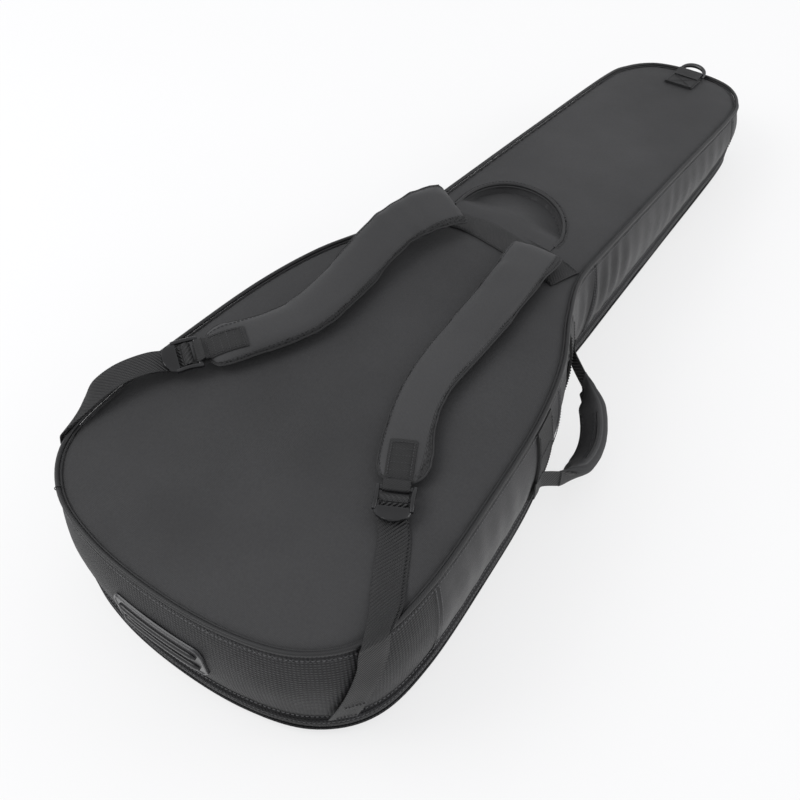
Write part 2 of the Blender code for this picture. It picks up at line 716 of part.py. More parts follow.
for old in list(bpy.data.objects):
    bpy.data.objects.remove(old, do_unlink=True)
make_lid()
make_zip()
make_pockets()
make_sliders()
on_lid = {piece.name for piece in bpy.data.objects} - {"zip_tape_shell"}
make_back()
make_gusset()
make_bumper()
make_back_trim()
make_straps()
make_ring()
make_handle()
make_inside()
hang_shell([piece for piece in bpy.data.objects if piece.name not in on_lid])
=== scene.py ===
"""Looks of the padded gig bag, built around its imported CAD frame.

The bag lies on its front panel. Distances along it are given from its bottom end, as in the CAD part, and
SHIFT turns them into the frame's Y. Every visual mesh carries a UV map in metres, which the weaves follow.
"""

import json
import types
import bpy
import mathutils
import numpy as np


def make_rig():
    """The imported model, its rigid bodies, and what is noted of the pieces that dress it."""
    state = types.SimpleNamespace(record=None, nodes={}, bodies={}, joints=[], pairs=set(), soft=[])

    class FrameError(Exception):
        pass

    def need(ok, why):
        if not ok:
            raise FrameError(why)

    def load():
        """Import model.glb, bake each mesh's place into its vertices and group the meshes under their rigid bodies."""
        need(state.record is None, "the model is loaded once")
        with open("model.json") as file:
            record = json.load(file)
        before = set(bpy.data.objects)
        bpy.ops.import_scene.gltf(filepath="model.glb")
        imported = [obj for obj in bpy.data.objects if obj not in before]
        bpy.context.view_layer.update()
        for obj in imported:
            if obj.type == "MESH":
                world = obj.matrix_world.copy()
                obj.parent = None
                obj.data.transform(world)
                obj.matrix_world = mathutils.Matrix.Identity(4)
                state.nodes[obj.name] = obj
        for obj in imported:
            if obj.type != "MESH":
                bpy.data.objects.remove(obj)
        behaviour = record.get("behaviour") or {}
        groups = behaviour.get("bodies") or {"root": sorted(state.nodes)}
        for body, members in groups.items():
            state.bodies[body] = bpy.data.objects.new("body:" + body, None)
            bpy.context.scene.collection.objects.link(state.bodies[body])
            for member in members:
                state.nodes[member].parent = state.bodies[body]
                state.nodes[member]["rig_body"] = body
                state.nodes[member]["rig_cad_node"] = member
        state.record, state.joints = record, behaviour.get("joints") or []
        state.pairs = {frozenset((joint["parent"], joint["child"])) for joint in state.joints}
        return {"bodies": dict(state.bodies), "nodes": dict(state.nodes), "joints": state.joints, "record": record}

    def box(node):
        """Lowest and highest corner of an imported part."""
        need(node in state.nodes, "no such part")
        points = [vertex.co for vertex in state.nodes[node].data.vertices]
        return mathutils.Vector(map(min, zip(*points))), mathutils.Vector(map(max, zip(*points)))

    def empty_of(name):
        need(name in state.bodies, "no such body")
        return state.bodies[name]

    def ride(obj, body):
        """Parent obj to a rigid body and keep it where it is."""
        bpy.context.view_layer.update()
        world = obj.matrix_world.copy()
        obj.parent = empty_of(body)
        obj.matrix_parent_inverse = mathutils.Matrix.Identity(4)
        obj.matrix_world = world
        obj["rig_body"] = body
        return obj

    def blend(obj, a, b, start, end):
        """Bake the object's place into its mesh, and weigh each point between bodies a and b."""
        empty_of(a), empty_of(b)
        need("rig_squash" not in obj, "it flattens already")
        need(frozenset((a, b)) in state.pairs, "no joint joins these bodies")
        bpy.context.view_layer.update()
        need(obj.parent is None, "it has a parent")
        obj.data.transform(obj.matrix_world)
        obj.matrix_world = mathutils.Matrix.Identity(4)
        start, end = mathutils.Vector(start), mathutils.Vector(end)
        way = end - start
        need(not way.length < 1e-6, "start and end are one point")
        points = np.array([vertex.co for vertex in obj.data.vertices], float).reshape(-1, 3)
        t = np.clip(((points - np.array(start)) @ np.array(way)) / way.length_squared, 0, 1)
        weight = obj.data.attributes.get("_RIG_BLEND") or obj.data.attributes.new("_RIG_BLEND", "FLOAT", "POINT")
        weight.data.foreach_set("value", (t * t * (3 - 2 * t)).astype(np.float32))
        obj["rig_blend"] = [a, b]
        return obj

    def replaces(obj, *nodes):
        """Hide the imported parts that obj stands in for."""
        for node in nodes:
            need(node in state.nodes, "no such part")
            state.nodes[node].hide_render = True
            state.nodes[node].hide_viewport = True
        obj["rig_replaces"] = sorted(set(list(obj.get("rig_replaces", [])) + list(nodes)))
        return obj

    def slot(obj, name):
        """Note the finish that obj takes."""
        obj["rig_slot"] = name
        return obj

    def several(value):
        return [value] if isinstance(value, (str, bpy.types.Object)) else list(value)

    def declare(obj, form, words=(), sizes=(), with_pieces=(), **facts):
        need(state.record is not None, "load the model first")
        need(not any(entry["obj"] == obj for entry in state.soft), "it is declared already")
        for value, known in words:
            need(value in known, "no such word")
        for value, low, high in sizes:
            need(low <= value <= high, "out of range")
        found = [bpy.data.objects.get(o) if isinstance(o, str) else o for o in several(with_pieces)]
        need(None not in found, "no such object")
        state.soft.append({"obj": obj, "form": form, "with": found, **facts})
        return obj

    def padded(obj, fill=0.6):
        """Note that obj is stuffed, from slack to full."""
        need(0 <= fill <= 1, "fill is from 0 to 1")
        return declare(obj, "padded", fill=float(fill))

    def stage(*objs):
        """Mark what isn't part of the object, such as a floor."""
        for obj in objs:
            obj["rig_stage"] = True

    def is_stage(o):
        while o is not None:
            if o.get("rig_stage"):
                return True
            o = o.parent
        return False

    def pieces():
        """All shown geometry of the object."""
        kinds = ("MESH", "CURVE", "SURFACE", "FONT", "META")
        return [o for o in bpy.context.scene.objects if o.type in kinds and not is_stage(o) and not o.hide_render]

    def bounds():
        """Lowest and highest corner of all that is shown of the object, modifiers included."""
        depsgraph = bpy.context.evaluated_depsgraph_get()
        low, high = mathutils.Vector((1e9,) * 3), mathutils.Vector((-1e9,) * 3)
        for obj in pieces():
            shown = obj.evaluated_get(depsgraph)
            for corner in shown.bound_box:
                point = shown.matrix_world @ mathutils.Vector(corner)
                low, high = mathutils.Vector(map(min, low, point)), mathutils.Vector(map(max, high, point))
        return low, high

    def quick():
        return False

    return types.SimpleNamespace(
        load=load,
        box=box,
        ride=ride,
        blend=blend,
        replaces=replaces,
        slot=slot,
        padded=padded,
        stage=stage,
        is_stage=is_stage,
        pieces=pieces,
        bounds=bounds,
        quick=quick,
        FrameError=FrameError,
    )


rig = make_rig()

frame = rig.load()

import json
import math

import bmesh
import bpy
from mathutils import Matrix, Vector, noise
from mathutils.bvhtree import BVHTree
from mathutils.kdtree import KDTree

cad_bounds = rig.bounds()

# The CAD part's driving dimensions, in metres
LENGTH = 1.120
SHIFT = -LENGTH / 2
BACK_HEIGHT = 0.152
HEAD_HEIGHT = 0.091
TAPER_START = 0.50
POCKET_DEPTH = 0.0110
FRONT_BOTTOM = 0.0115
PANEL_THICK = 0.0150
WALL_THICK = 0.0130
WALL_BULGE = 0.0060
SEAM_EDGE = 0.0030
PIPING_RADIUS = 0.0028
ZIP_PLANE = 0.0300
TAPE_HEIGHT = 0.0028
WEB_WIDTH = 0.026
PAD_THICK = 0.0125
PAD_LIFT = 0.0032
GAP = 0.0004
UV = "cloth_uv"
UP = Vector((0, 0, 1))
ORIGIN = Vector((0, SHIFT, 0))  # the bottom end

# Right half of the outline: half width, and distance from the bottom end
HALF_OUTLINE = (
    (0.0765, 0.006),
    (0.1380, 0.026),
    (0.1770, 0.068),
    (0.1880, 0.135),
    (0.1830, 0.240),
    (0.1735, 0.340),
    (0.1550, 0.420),
    (0.1260, 0.487),
    (0.1060, 0.548),
    (0.1025, 0.620),
    (0.0985, 0.820),
    (0.0945, 1.020),
    (0.0835, 1.072),
    (0.0610, 1.105),
    (0.0320, 1.118),
)


# ---------------------------------------------------------------- curves and heights


def clamp(value, low=0.0, high=1.0):
    return min(high, max(low, value))


def ease(value):
    value = clamp(value)
    return value * value * (3 - 2 * value)


def catmull_rom(a, b, c, d, t):
    return 0.5 * (2 * b + (c - a) * t + (2 * a - 5 * b + 4 * c - d) * t * t + (3 * b - a - 3 * c + d) * t**3)


def outline_controls():
    right = [Vector((x, y, 0)) for x, y in HALF_OUTLINE]
    left = [Vector((-p.x, p.y, 0)) for p in reversed(right)]
    loop = [Vector((0, 0, 0))] + right + [Vector((0, LENGTH, 0))] + left
    return [p + ORIGIN for p in loop]


CONTROLS = outline_controls()
COUNT = len(CONTROLS)
HEAD = COUNT / 2


def outline_point(t):
    i = math.floor(t)
    return catmull_rom(*[CONTROLS[(i + k) % COUNT] for k in (-1, 0, 1, 2)], t - i)


def outline_normal(t):
    along = outline_point(t + 0.02) - outline_point(t - 0.02)
    return Vector((along.y, -along.x, 0)).normalized()


def parameter(distance, side):
    """Outline parameter at a distance from the bottom end, on side 1 (right) or -1 (left)."""
    if distance <= 0:
        return 0.0
    if distance >= LENGTH:
        return HEAD
    low, high = 0.0, HEAD
    for _ in range(40):
        middle = (low + high) / 2
        if outline_point(middle).y - SHIFT < distance:
            low = middle
        else:
            high = middle
    return low if side > 0 else COUNT - low


def back_height(y):
    run = (y - SHIFT - TAPER_START) / (LENGTH - TAPER_START)
    return BACK_HEIGHT - (BACK_HEIGHT - HEAD_HEIGHT) * clamp(run) ** 1.15


def wall_offset(share):
    return SEAM_EDGE + WALL_BULGE * math.sin(math.pi * clamp(share))


def seam(t, outward, height):
    point = outline_point(t) + outline_normal(t) * outward
    point.z = height
    return point


def wall_point(t, share, outward=0.0):
    low = ZIP_PLANE + TAPE_HEIGHT + 2 * GAP
    high = back_height(outline_point(t).y) - PIPING_RADIUS - 2 * GAP
    return seam(t, wall_offset(share) + outward, low + (high - low) * share)


def run_of(start, end, step):
    """Outline parameters from start to end, about step metres apart."""
    found = [start]
    t = start
    while True:
        speed = (outline_point(t + 0.01) - outline_point(t - 0.01)).length / 0.02
        t += step / max(speed, 0.01)
        if t >= end - 0.4 * step / max(speed, 0.01):
            return found + [end]
        found.append(t)


def smooth_path(rows, steps):
    """Rows of numbers, joined by a smooth curve through them."""
    rows = [Vector(row) for row in rows]
    padded = [rows[0] * 2 - rows[1]] + rows + [rows[-1] * 2 - rows[-2]]
    found = []
    for i in range(len(rows) - 1):
        found += [catmull_rom(*padded[i : i + 4], k / steps) for k in range(steps)]
    return found + [rows[-1]]


def step_at(points, i):
    """From the point before to the point after, along a polyline."""
    return points[min(i + 1, len(points) - 1)] - points[max(i - 1, 0)]


def rounded_ring(count, across, rise):
    """A ring of unit size, squarer as its two powers get smaller."""
    found = []
    for k in range(count):
        u, v = math.cos(math.tau * k / count), math.sin(math.tau * k / count)
        found.append((math.copysign(abs(u) ** across, u), math.copysign(abs(v) ** rise, v)))
    return found


def tree_of(points):
    tree = KDTree(len(points))
    for i, p in enumerate(points):
        tree.insert((p[0], p[1], 0), i)
    tree.balance()
    return tree


EDGE = tree_of([outline_point(k / 24) for k in range(COUNT * 24)])

HOLD_X, HOLD_START = -0.010, 0.592  # the hand-hold's arc: its middle, and where it starts
HOLD_WIDE, HOLD_LONG = 0.068, 0.081  # and its half width and length
HOLD_LEAN = 0.014  # how far the arc leans to the left


def hold_radius(x, y):
    """Position across the hand-hold: 0 at its middle, 1 on its rim."""
    rise = (y - SHIFT - HOLD_START) / HOLD_LONG
    return math.hypot((x - HOLD_X + HOLD_LEAN * clamp(rise)) / HOLD_WIDE, rise)


def dish(r, y):
    """Depth of the hand-hold's hollow, deepest just inside its rim."""
    wall = ease((1.0 - r) / 0.050)
    fade = ease((r - 0.05) / 0.80) * ease((y - SHIFT - HOLD_START + 0.002) / 0.036)
    return 0.0115 * wall * fade


def hold_arc(size, above):
    """Points over the hand-hold's rim, drawn in or out by size."""
    found = []
    for k in range(57):
        turn = math.pi * (0.02 + 0.94 * k / 56)
        x = HOLD_X + size * (HOLD_WIDE * math.cos(turn) - HOLD_LEAN * math.sin(turn))
        y = HOLD_START + size * HOLD_LONG * math.sin(turn) + SHIFT
        found.append(Vector((x, y, back_height(y) + 0.0016 + above)))
    for end, at in ((found[0], 0), (found[-1], len(found) + 1)):
        y = end.y - 0.016
        found.insert(at, Vector((end.x, y, back_height(y) + 0.0006 + above)))
    return found


def crown(x, y):
    """Height of the padded back panel's outer cloth over its nominal plane."""
    d = EDGE.find((x, y, 0))[2]
    rise = -0.0046 * math.exp(-d / 0.0036) + 0.0018 * ease(d / 0.045)
    rise += 0.0016 * noise.noise(Vector((x * 7.3, y * 5.1, 3.7))) * ease(d / 0.03)
    rise += 0.0012 * noise.noise(Vector((x * 17 + y * 8, y * 11 - x * 6, 9.1))) * ease(d / 0.03)
    r = hold_radius(x, y)
    if r < 1.02 and y > SHIFT + HOLD_START - 0.012:
        rise -= dish(r, y)
    if r < 1.0 and y > SHIFT + HOLD_START - 0.020:
        rise -= 0.0030 * ease((0.99 - r) / 0.06) * ease((y - SHIFT - HOLD_START + 0.020) / 0.010)
    return rise


def back(x, distance, above=0.0):
    """Point over the back panel's outer cloth."""
    y = distance + SHIFT
    return Vector((x, y, back_height(y) + crown(x, y) + above))


def flat_back(x, distance, above=0.0):
    """Point over the back panel's nominal plane, which the straps bridge."""
    y = distance + SHIFT
    return Vector((x, y, back_height(y) + 0.0016 + above))


# ---------------------------------------------------------------- materials


class Graph:
    """A material's nodes, made from top to bottom."""

    def __init__(self, name):
        self.material = bpy.data.materials.new(name)
        self.material.use_nodes = True
        self.tree = self.material.node_tree
        self.shader = self.tree.nodes["Principled BSDF"]

    def add(self, kind, values=None, **settings):
        node = self.tree.nodes.new(kind)
        for key, value in settings.items():
            setattr(node, key, value)
        for key, value in (values or {}).items():
            if isinstance(value, bpy.types.NodeSocket):
                self.tree.links.new(value, node.inputs[key])
            else:
                node.inputs[key].default_value = value
        return node

    def link(self, out, socket):
        self.tree.links.new(out, socket)

    def math(self, operation, a, b=0.0):
        return self.add("ShaderNodeMath", {0: a, 1: b}, operation=operation).outputs[0]

    def noise(self, scale, detail=3.0, rough=0.55):
        place = self.add("ShaderNodeTexCoord").outputs["Object"]
        values = {"Vector": place, "Scale": scale, "Detail": detail, "Roughness": rough}
        return self.add("ShaderNodeTexNoise", values).outputs["Fac"]

    def spread(self, value, low, high, start=0.0, end=1.0):
        values = {"Value": value, "From Min": start, "From Max": end, "To Min": low, "To Max": high}
        return self.add("ShaderNodeMapRange", values).outputs[0]

    def bands(self, pitch, turn=0.0, distort=0.0):
        """A sine across the cloth, in its own UV metres, one period every pitch."""
        place = self.add("ShaderNodeUVMap", uv_map=UV).outputs[0]
        turned = self.add("ShaderNodeMapping", {"Vector": place, "Rotation": (0, 0, turn)}).outputs[0]
        values = {"Vector": turned, "Scale": 0.31416 / pitch, "Distortion": distort, "Detail": 1.0}
        values["Detail Scale"] = 0.4
        return self.add("ShaderNodeTexWave", values, bands_direction="X").outputs["Fac"]

    def finish(self, color, rough, height=None, depth=0.0002, tone=0.14, wear=0.10, shade=None, **fixed):
        """Colour with broad and fine variation and worn edges, varied roughness, and the relief of height."""
        broad = self.spread(self.noise(5.5, 2.0), 1 - tone, 1 + tone, 0.3, 0.7)
        fine = self.spread(self.noise(420, 2.0), 1 - tone * 0.5, 1 + tone * 0.5, 0.3, 0.7)
        edge = self.add("ShaderNodeNewGeometry").outputs["Pointiness"]
        worn = self.spread(edge, 1.0, 1.0 + wear * 4, 0.51, 0.60)
        level = self.math("MULTIPLY", self.math("MULTIPLY", broad, fine), worn)
        if shade is not None:
            level = self.math("MULTIPLY", level, shade)
        tint = self.add("ShaderNodeCombineColor", {
            "Red": self.math("MULTIPLY", level, color[0]),
            "Green": self.math("MULTIPLY", level, color[1]),
            "Blue": self.math("MULTIPLY", level, color[2]),
        })
        self.link(tint.outputs[0], self.shader.inputs["Base Color"])
        varied = self.spread(self.noise(38, 3.0), rough - 0.06, rough + 0.06)
        self.link(varied, self.shader.inputs["Roughness"])
        if height is not None:
            bump = self.add("ShaderNodeBump", {"Strength": 0.8, "Distance": depth, "Height": height})
            self.link(bump.outputs[0], self.shader.inputs["Normal"])
        for key, value in fixed.items():
            self.shader.inputs[key.replace("_", " ")].default_value = value
        return self.material


def plain_weave(name, color, rough, pitch, depth, **rest):
    """Crossed threads, one over the other."""
    g = Graph(name)
    warp = g.bands(pitch, 0.0, 0.6)
    weft = g.bands(pitch, math.pi / 2, 0.6)
    threads = g.math("ADD", g.math("MULTIPLY", warp, weft), g.math("MULTIPLY", g.noise(600, 2.0), 0.5))
    folds = g.math("MULTIPLY", g.noise(26, 3.0), rest.pop("folds", 2.0))
    shade = g.spread(g.math("MULTIPLY", warp, weft), 1 - rest.get("tone", 0.14), 1 + rest.get("tone", 0.14))
    return g.finish(color, rough, g.math("ADD", threads, folds), depth, shade=shade, **rest)


def twill(name, color, rough, pitch, depth, slant=0.9, **rest):
    """Webbing: diagonal ribs over fine cross threads."""
    g = Graph(name)
    ribs = g.bands(pitch, slant, 0.3)
    cross = g.bands(pitch * 0.55, slant + math.pi / 2, 0.3)
    cloth = g.math("ADD", ribs, g.math("MULTIPLY", cross, 0.4))
    shade = g.spread(cloth, 0.50, 1.55, 0.0, 1.4)
    height = g.math("ADD", cloth, g.math("MULTIPLY", g.noise(500), 0.4))
    return g.finish(color, rough, height, depth, shade=shade, **rest)


def air_mesh(name, color, rough):
    """Spacer mesh: rows of small open cells."""
    g = Graph(name)
    place = g.add("ShaderNodeTexCoord").outputs["Object"]
    cells = g.add("ShaderNodeTexVoronoi", {"Vector": place, "Scale": 330.0, "Randomness": 0.30}, feature="F1")
    holes = g.spread(cells.outputs["Distance"], 0.0, 1.0, 0.12, 0.50)
    return g.finish(color, rough, holes, 0.0012, shade=g.spread(holes, 0.30, 2.2))


def plush(name, color):
    g = Graph(name)
    pile = g.math("ADD", g.noise(900, 4.0, 0.8), g.math("MULTIPLY", g.noise(60, 3.0), 0.7))
    return g.finish(color, 0.9, pile, 0.0009, tone=0.2, Sheen_Weight=0.5, Sheen_Roughness=0.5)


def moulded(name, color, rough, **rest):
    """Moulded plastic or rubber: fine grain, faint scuffs and rubbed edges."""
    g = Graph(name)
    grain = g.math("ADD", g.noise(1400.0, 2.0), g.noise(120, 4.0))
    return g.finish(color, rough, grain, 0.00004, tone=0.08, **rest)


SHELL = plain_weave("shell_nylon", (0.0425, 0.0425, 0.0436), 0.68, 0.0014, 0.00022,
                    tone=0.16, wear=0.04, folds=3.0, Sheen_Weight=0.03, Specular_IOR_Level=0.24)
GUSSET = plain_weave("gusset_nylon", (0.0160, 0.0158, 0.0173), 0.46, 0.0010, 0.00012,
                     tone=0.14, wear=0.05, folds=5.0, Sheen_Weight=0.02, Specular_IOR_Level=0.26)
BALLISTIC = plain_weave("ballistic_nylon", (0.0110, 0.0110, 0.0121), 0.55, 0.0034, 0.00100,
                        tone=0.65, wear=0.10, Sheen_Weight=0.02, Specular_IOR_Level=0.26)
# Lighter copy of the shell nylon for the grip's inner side: painted light that lifts the shade on that side
GRIP_PAINTED_LIGHT = plain_weave("grip_nylon_painted_light", (0.0640, 0.0640, 0.0652), 0.66, 0.0013, 0.00018, tone=0.13, wear=0.05)
STRAP = plain_weave("strap_nylon", (0.0370, 0.0370, 0.0381), 0.62, 0.0013, 0.00018,
                    tone=0.13, wear=0.06, folds=3.0, Sheen_Weight=0.06, Specular_IOR_Level=0.40)
MESH = air_mesh("air_mesh", (0.0085, 0.0085, 0.0088), 0.75)
WEB = twill("webbing", (0.0092, 0.0092, 0.0096), 0.55, 0.0030, 0.0009, wear=0.2)
BAND = twill("band_webbing", (0.0078, 0.0078, 0.0081), 0.6, 0.0017, 0.0004, wear=0.1)
PIPE = twill("piping_cloth", (0.0098, 0.0098, 0.0102), 0.44, 0.0014, 0.00012, slant=0.7, wear=0.25,
             Specular_IOR_Level=0.42)
BINDING = twill("binding", (0.0110, 0.0110, 0.0114), 0.6, 0.0012, 0.0002, wear=0.2)
TAPE = plain_weave("zip_tape", (0.013, 0.013, 0.0135), 0.6, 0.0012, 0.0002, tone=0.2)
COIL = moulded("zip_coil", (0.012, 0.012, 0.0125), 0.35)
THREAD = twill("thread", (0.060, 0.060, 0.062), 0.55, 0.0005, 0.00005)
DARK_THREAD = twill("dark_thread", (0.020, 0.020, 0.021), 0.55, 0.0005, 0.00005)
LINING = plush("plush_lining", (0.060, 0.060, 0.063))
RUBBER = moulded("bumper_rubber", (0.018, 0.018, 0.019), 0.30, wear=0.3, Specular_IOR_Level=0.6)
PLASTIC = moulded("black_acetal", (0.0060, 0.0060, 0.0064), 0.22, wear=0.5, Specular_IOR_Level=0.45)
METAL = moulded("black_zinc", (0.010, 0.010, 0.0105), 0.28, wear=0.8, Coat_Weight=0.3)


# ---------------------------------------------------------------- mesh builders


def link_object(name, data):
    made = bpy.data.objects.new(name, data)
    bpy.context.collection.objects.link(made)
    return made


def build(name, verts, faces, uvs, looks, picks=None, merge=0.0):
    """A mesh object. uvs holds one pair per face corner, and picks one material number per face."""
    data = bpy.data.meshes.new(name)
    data.from_pydata([tuple(v) for v in verts], [], faces)
    layer = data.uv_layers.new(name=UV)
    layer.data.foreach_set("uv", [value for pair in uvs for value in pair])
    for look in looks:
        data.materials.append(look)
    if picks:
        data.polygons.foreach_set("material_index", picks)
    mesh = bmesh.new()
    mesh.from_mesh(data)
    if merge:
        bmesh.ops.remove_doubles(mesh, verts=mesh.verts, dist=merge)
    bmesh.ops.recalc_face_normals(mesh, faces=mesh.faces)
    mesh.to_mesh(data)
    mesh.free()
    data.polygons.foreach_set("use_smooth", [True] * len(data.polygons))
    data.set_sharp_from_angle(angle=math.radians(48))
    return link_object(name, data)


def loft(name, sections, looks, closed=False, pick=None, merge=0.0):
    """Joins equal rings of points. pick gives a face's material number from its section and side."""
    count = len(sections[0])
    verts = [p for section in sections for p in section]
    around = [0.0]
    for k in range(count):
        around.append(around[-1] + (sections[0][(k + 1) % count] - sections[0][k]).length)
    middles = [sum(section, Vector()) / count for section in sections]
    along = [0.0]
    for i in range(len(sections)):
        along.append(along[-1] + (middles[(i + 1) % len(sections)] - middles[i]).length)
    faces, uvs, picks = [], [], []
    for i in range(len(sections) - (not closed)):
        j = (i + 1) % len(sections)
        for k in range(count):
            m = (k + 1) % count
            faces.append((i * count + k, i * count + m, j * count + m, j * count + k))
            uvs += [(around[k], along[i]), (around[k + 1], along[i]), (around[k + 1], along[i + 1]),
                    (around[k], along[i + 1])]
            picks.append(pick(i, k) if pick else 0)
    if not closed:
        for i in (0, len(sections) - 1):
            ring = list(range(i * count, (i + 1) * count))
            faces.append(ring)
            uvs += [(around[k], along[i]) for k in range(count)]
            picks.append(0)
    return build(name, verts, faces, uvs, looks, picks, merge)


def tube(name, points, radius, look, sides=8, closed=False, ups=None, flat=1.0):
    """A round or flattened rod along points."""
    sections = []
    last = len(points) - 1
    for i, point in enumerate(points):
        before = points[i - 1] if i or closed else points[0]
        after = points[(i + 1) % len(points)] if i < last or closed else points[last]
        along = (after - before).normalized()
        up = ups[i] if ups else UP
        side = along.cross(up).normalized()
        rise = side.cross(along).normalized()
        size = radius[i] if isinstance(radius, (list, tuple)) else radius
        sections.append([point + side * size * math.cos(a) + rise * size * flat * math.sin(a)
                         for a in [math.tau * k / sides for k in range(sides)]])
    return loft(name, sections, [look], closed)


def strap(name, points, wides, normals, thick, look, edge=0.35):
    """A flat woven strap with soft edges. wides holds half-width vectors."""
    sections = []
    profile = [(-1, -edge), (-1, edge), (-0.965, 1), (-0.5, 1), (0, 1), (0.5, 1), (0.965, 1)]
    profile += [(-u, -v) for u, v in profile]
    for point, wide, normal in zip(points, wides, normals):
        sections.append([point + wide * u + normal * v * thick / 2 for u, v in profile])
    return loft(name, sections, [look])


def resample(points, step):
    """Points at equal spacing along a polyline, with the share of each segment: (point, index, share)."""
    found = []
    carry = 0.0
    for i in range(len(points) - 1):
        length = (points[i + 1] - points[i]).length
        while carry < length:
            found.append((points[i].lerp(points[i + 1], carry / length), i, carry / length))
            carry += step
        carry -= length
    return found


def skin(base, rings, count):
    """Faces over a row of rings of points, and over its two ends."""
    faces = []
    for i in range(rings - 1):
        for k in range(count):
            near, far = base + i * count, base + (i + 1) * count
            m = (k + 1) % count
            faces.append((near + k, near + m, far + m, far + k))
    return faces + [tuple(first + k for k in range(count)) for first in (base, base + (rings - 1) * count)]


STITCHES = {}
STITCH_GAP = 0.3  # share of the pitch left bare
STITCH_SIZE = 0.00052
# Each of a stitch's rings: its place along the stitch, its size and its lift
STITCH_RINGS = ((0.0, 0.45, 0.0), (0.25, 1.0, 1.0), (0.75, 1.0, 1.0), (1.0, 0.45, 0.0))


def stitch(group, points, normals, pitch=0.0044):
    """Adds a row of thread stitches along points to a group that becomes one piece."""
    rows = STITCHES.setdefault(group, ([], []))
    spots = resample(points, pitch)
    for (one, i, share), (other, _, _) in zip(spots, spots[1:]):
        normal = normals[i].lerp(normals[min(i + 1, len(normals) - 1)], share).normalized()
        end = one.lerp(other, 1 - STITCH_GAP)
        along = (end - one).normalized()
        side = along.cross(normal).normalized()
        base = len(rows[0])
        for place, size, lift in STITCH_RINGS:
            centre = one.lerp(end, place) + normal * STITCH_SIZE * (0.2 + 0.6 * lift)
            rows[0].extend(centre + side * STITCH_SIZE * size * a + normal * STITCH_SIZE * size * b
                           for a, b in ((1, 0), (0, 1), (-1, 0), (0, -1)))
        rows[1].extend(skin(base, len(STITCH_RINGS), 4))


def rounded_box(name, low, high, look, bevel, levels=2):
    """A padded or moulded block: a box with rounded edges."""
    low, high = Vector(low), Vector(high)
    mesh = bmesh.new()
    bmesh.ops.create_cube(mesh, size=1)
    bmesh.ops.scale(mesh, verts=mesh.verts, vec=high - low)
    bmesh.ops.translate(mesh, verts=mesh.verts, vec=(high + low) / 2)
    bmesh.ops.subdivide_edges(mesh, edges=mesh.edges, cuts=6, use_grid_fill=True)
    corners = [e for e in mesh.edges if e.calc_face_angle(0) > 1]
    bmesh.ops.bevel(mesh, geom=corners, offset=bevel, segments=levels + 1, profile=0.5, affect="EDGES")
    data = bpy.data.meshes.new(name)
    mesh.to_mesh(data)
    mesh.free()
    layer = data.uv_layers.new(name=UV)
    for polygon in data.polygons:
        for index in polygon.loop_indices:
            p = data.vertices[data.loops[index].vertex_index].co
            n = polygon.normal
            layer.data[index].uv = (p.x + p.z * abs(n.x), p.y + p.z * abs(n.y))
    data.materials.append(look)
    data.polygons.foreach_set("use_smooth", [True] * len(data.polygons))
    return link_object(name, data)


def settle(piece, body, slot, *nodes):
    """Puts a finished piece on its body, and in place of the CAD nodes that it stands for."""
    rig.ride(piece, body)
    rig.slot(piece, slot)
    if nodes:
        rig.replaces(piece, *nodes)
    return piece


# ---------------------------------------------------------------- panels


PANEL_COLUMNS = 56
PANEL_STEP = 0.0055


def pillow(name, span, inset, low, high, roll, looks):
    """A padded panel of the bag's outline. low and high give its faces' heights, which roll in at the edge."""
    start, end = parameter(span[0], 1), parameter(span[1], 1)
    rights = [seam(t, -inset, 0) for t in run_of(start, end, PANEL_STEP)]
    for p in rights:
        p.x = max(p.x, 0.0)
    border = rights + [Vector((-p.x, p.y, 0)) for p in rights]
    for p in (rights[0], rights[-1]):
        border += [Vector((p.x * k / 20, p.y, 0)) for k in range(-20, 21)]
    tree = tree_of(border)
    verts, faces, uvs, picks = [], [], [], []
    grid = {}
    for layer in (0, 1):
        for i, p in enumerate(rights):
            for k in range(PANEL_COLUMNS + 1):
                x = p.x * math.sin(math.pi / 2 * (2 * k / PANEL_COLUMNS - 1))
                d = tree.find((x, p.y, 0))[2]
                tuck = roll * math.exp(-d / (roll * 0.8))
                z = low(x, p.y) + tuck if layer == 0 else high(x, p.y) - tuck
                grid[layer, i, k] = len(verts)
                verts.append(Vector((x, p.y, z)))
    rows = len(rights) - 1

    def quad(corners, look, wall=False):
        ids = [grid[c] for c in corners]
        faces.append(ids)
        for v in ids:
            p = verts[v]
            uvs.append((p.x + p.y, p.z) if wall else (p.x, p.y))
        picks.append(look)

    for i in range(rows):
        for k in range(PANEL_COLUMNS):
            for layer, look in ((0, len(looks) - 1), (1, 0)):
                quad([(layer, i, k), (layer, i, k + 1), (layer, i + 1, k + 1), (layer, i + 1, k)], look)
        for k in (0, PANEL_COLUMNS):
            quad([(0, i, k), (0, i + 1, k), (1, i + 1, k), (1, i, k)], 0, True)
    for i in (0, rows):
        for k in range(PANEL_COLUMNS):
            quad([(0, i, k), (0, i, k + 1), (1, i, k + 1), (1, i, k)], 0, True)
    return build(name, verts, faces, uvs, looks, picks, merge=0.00002)


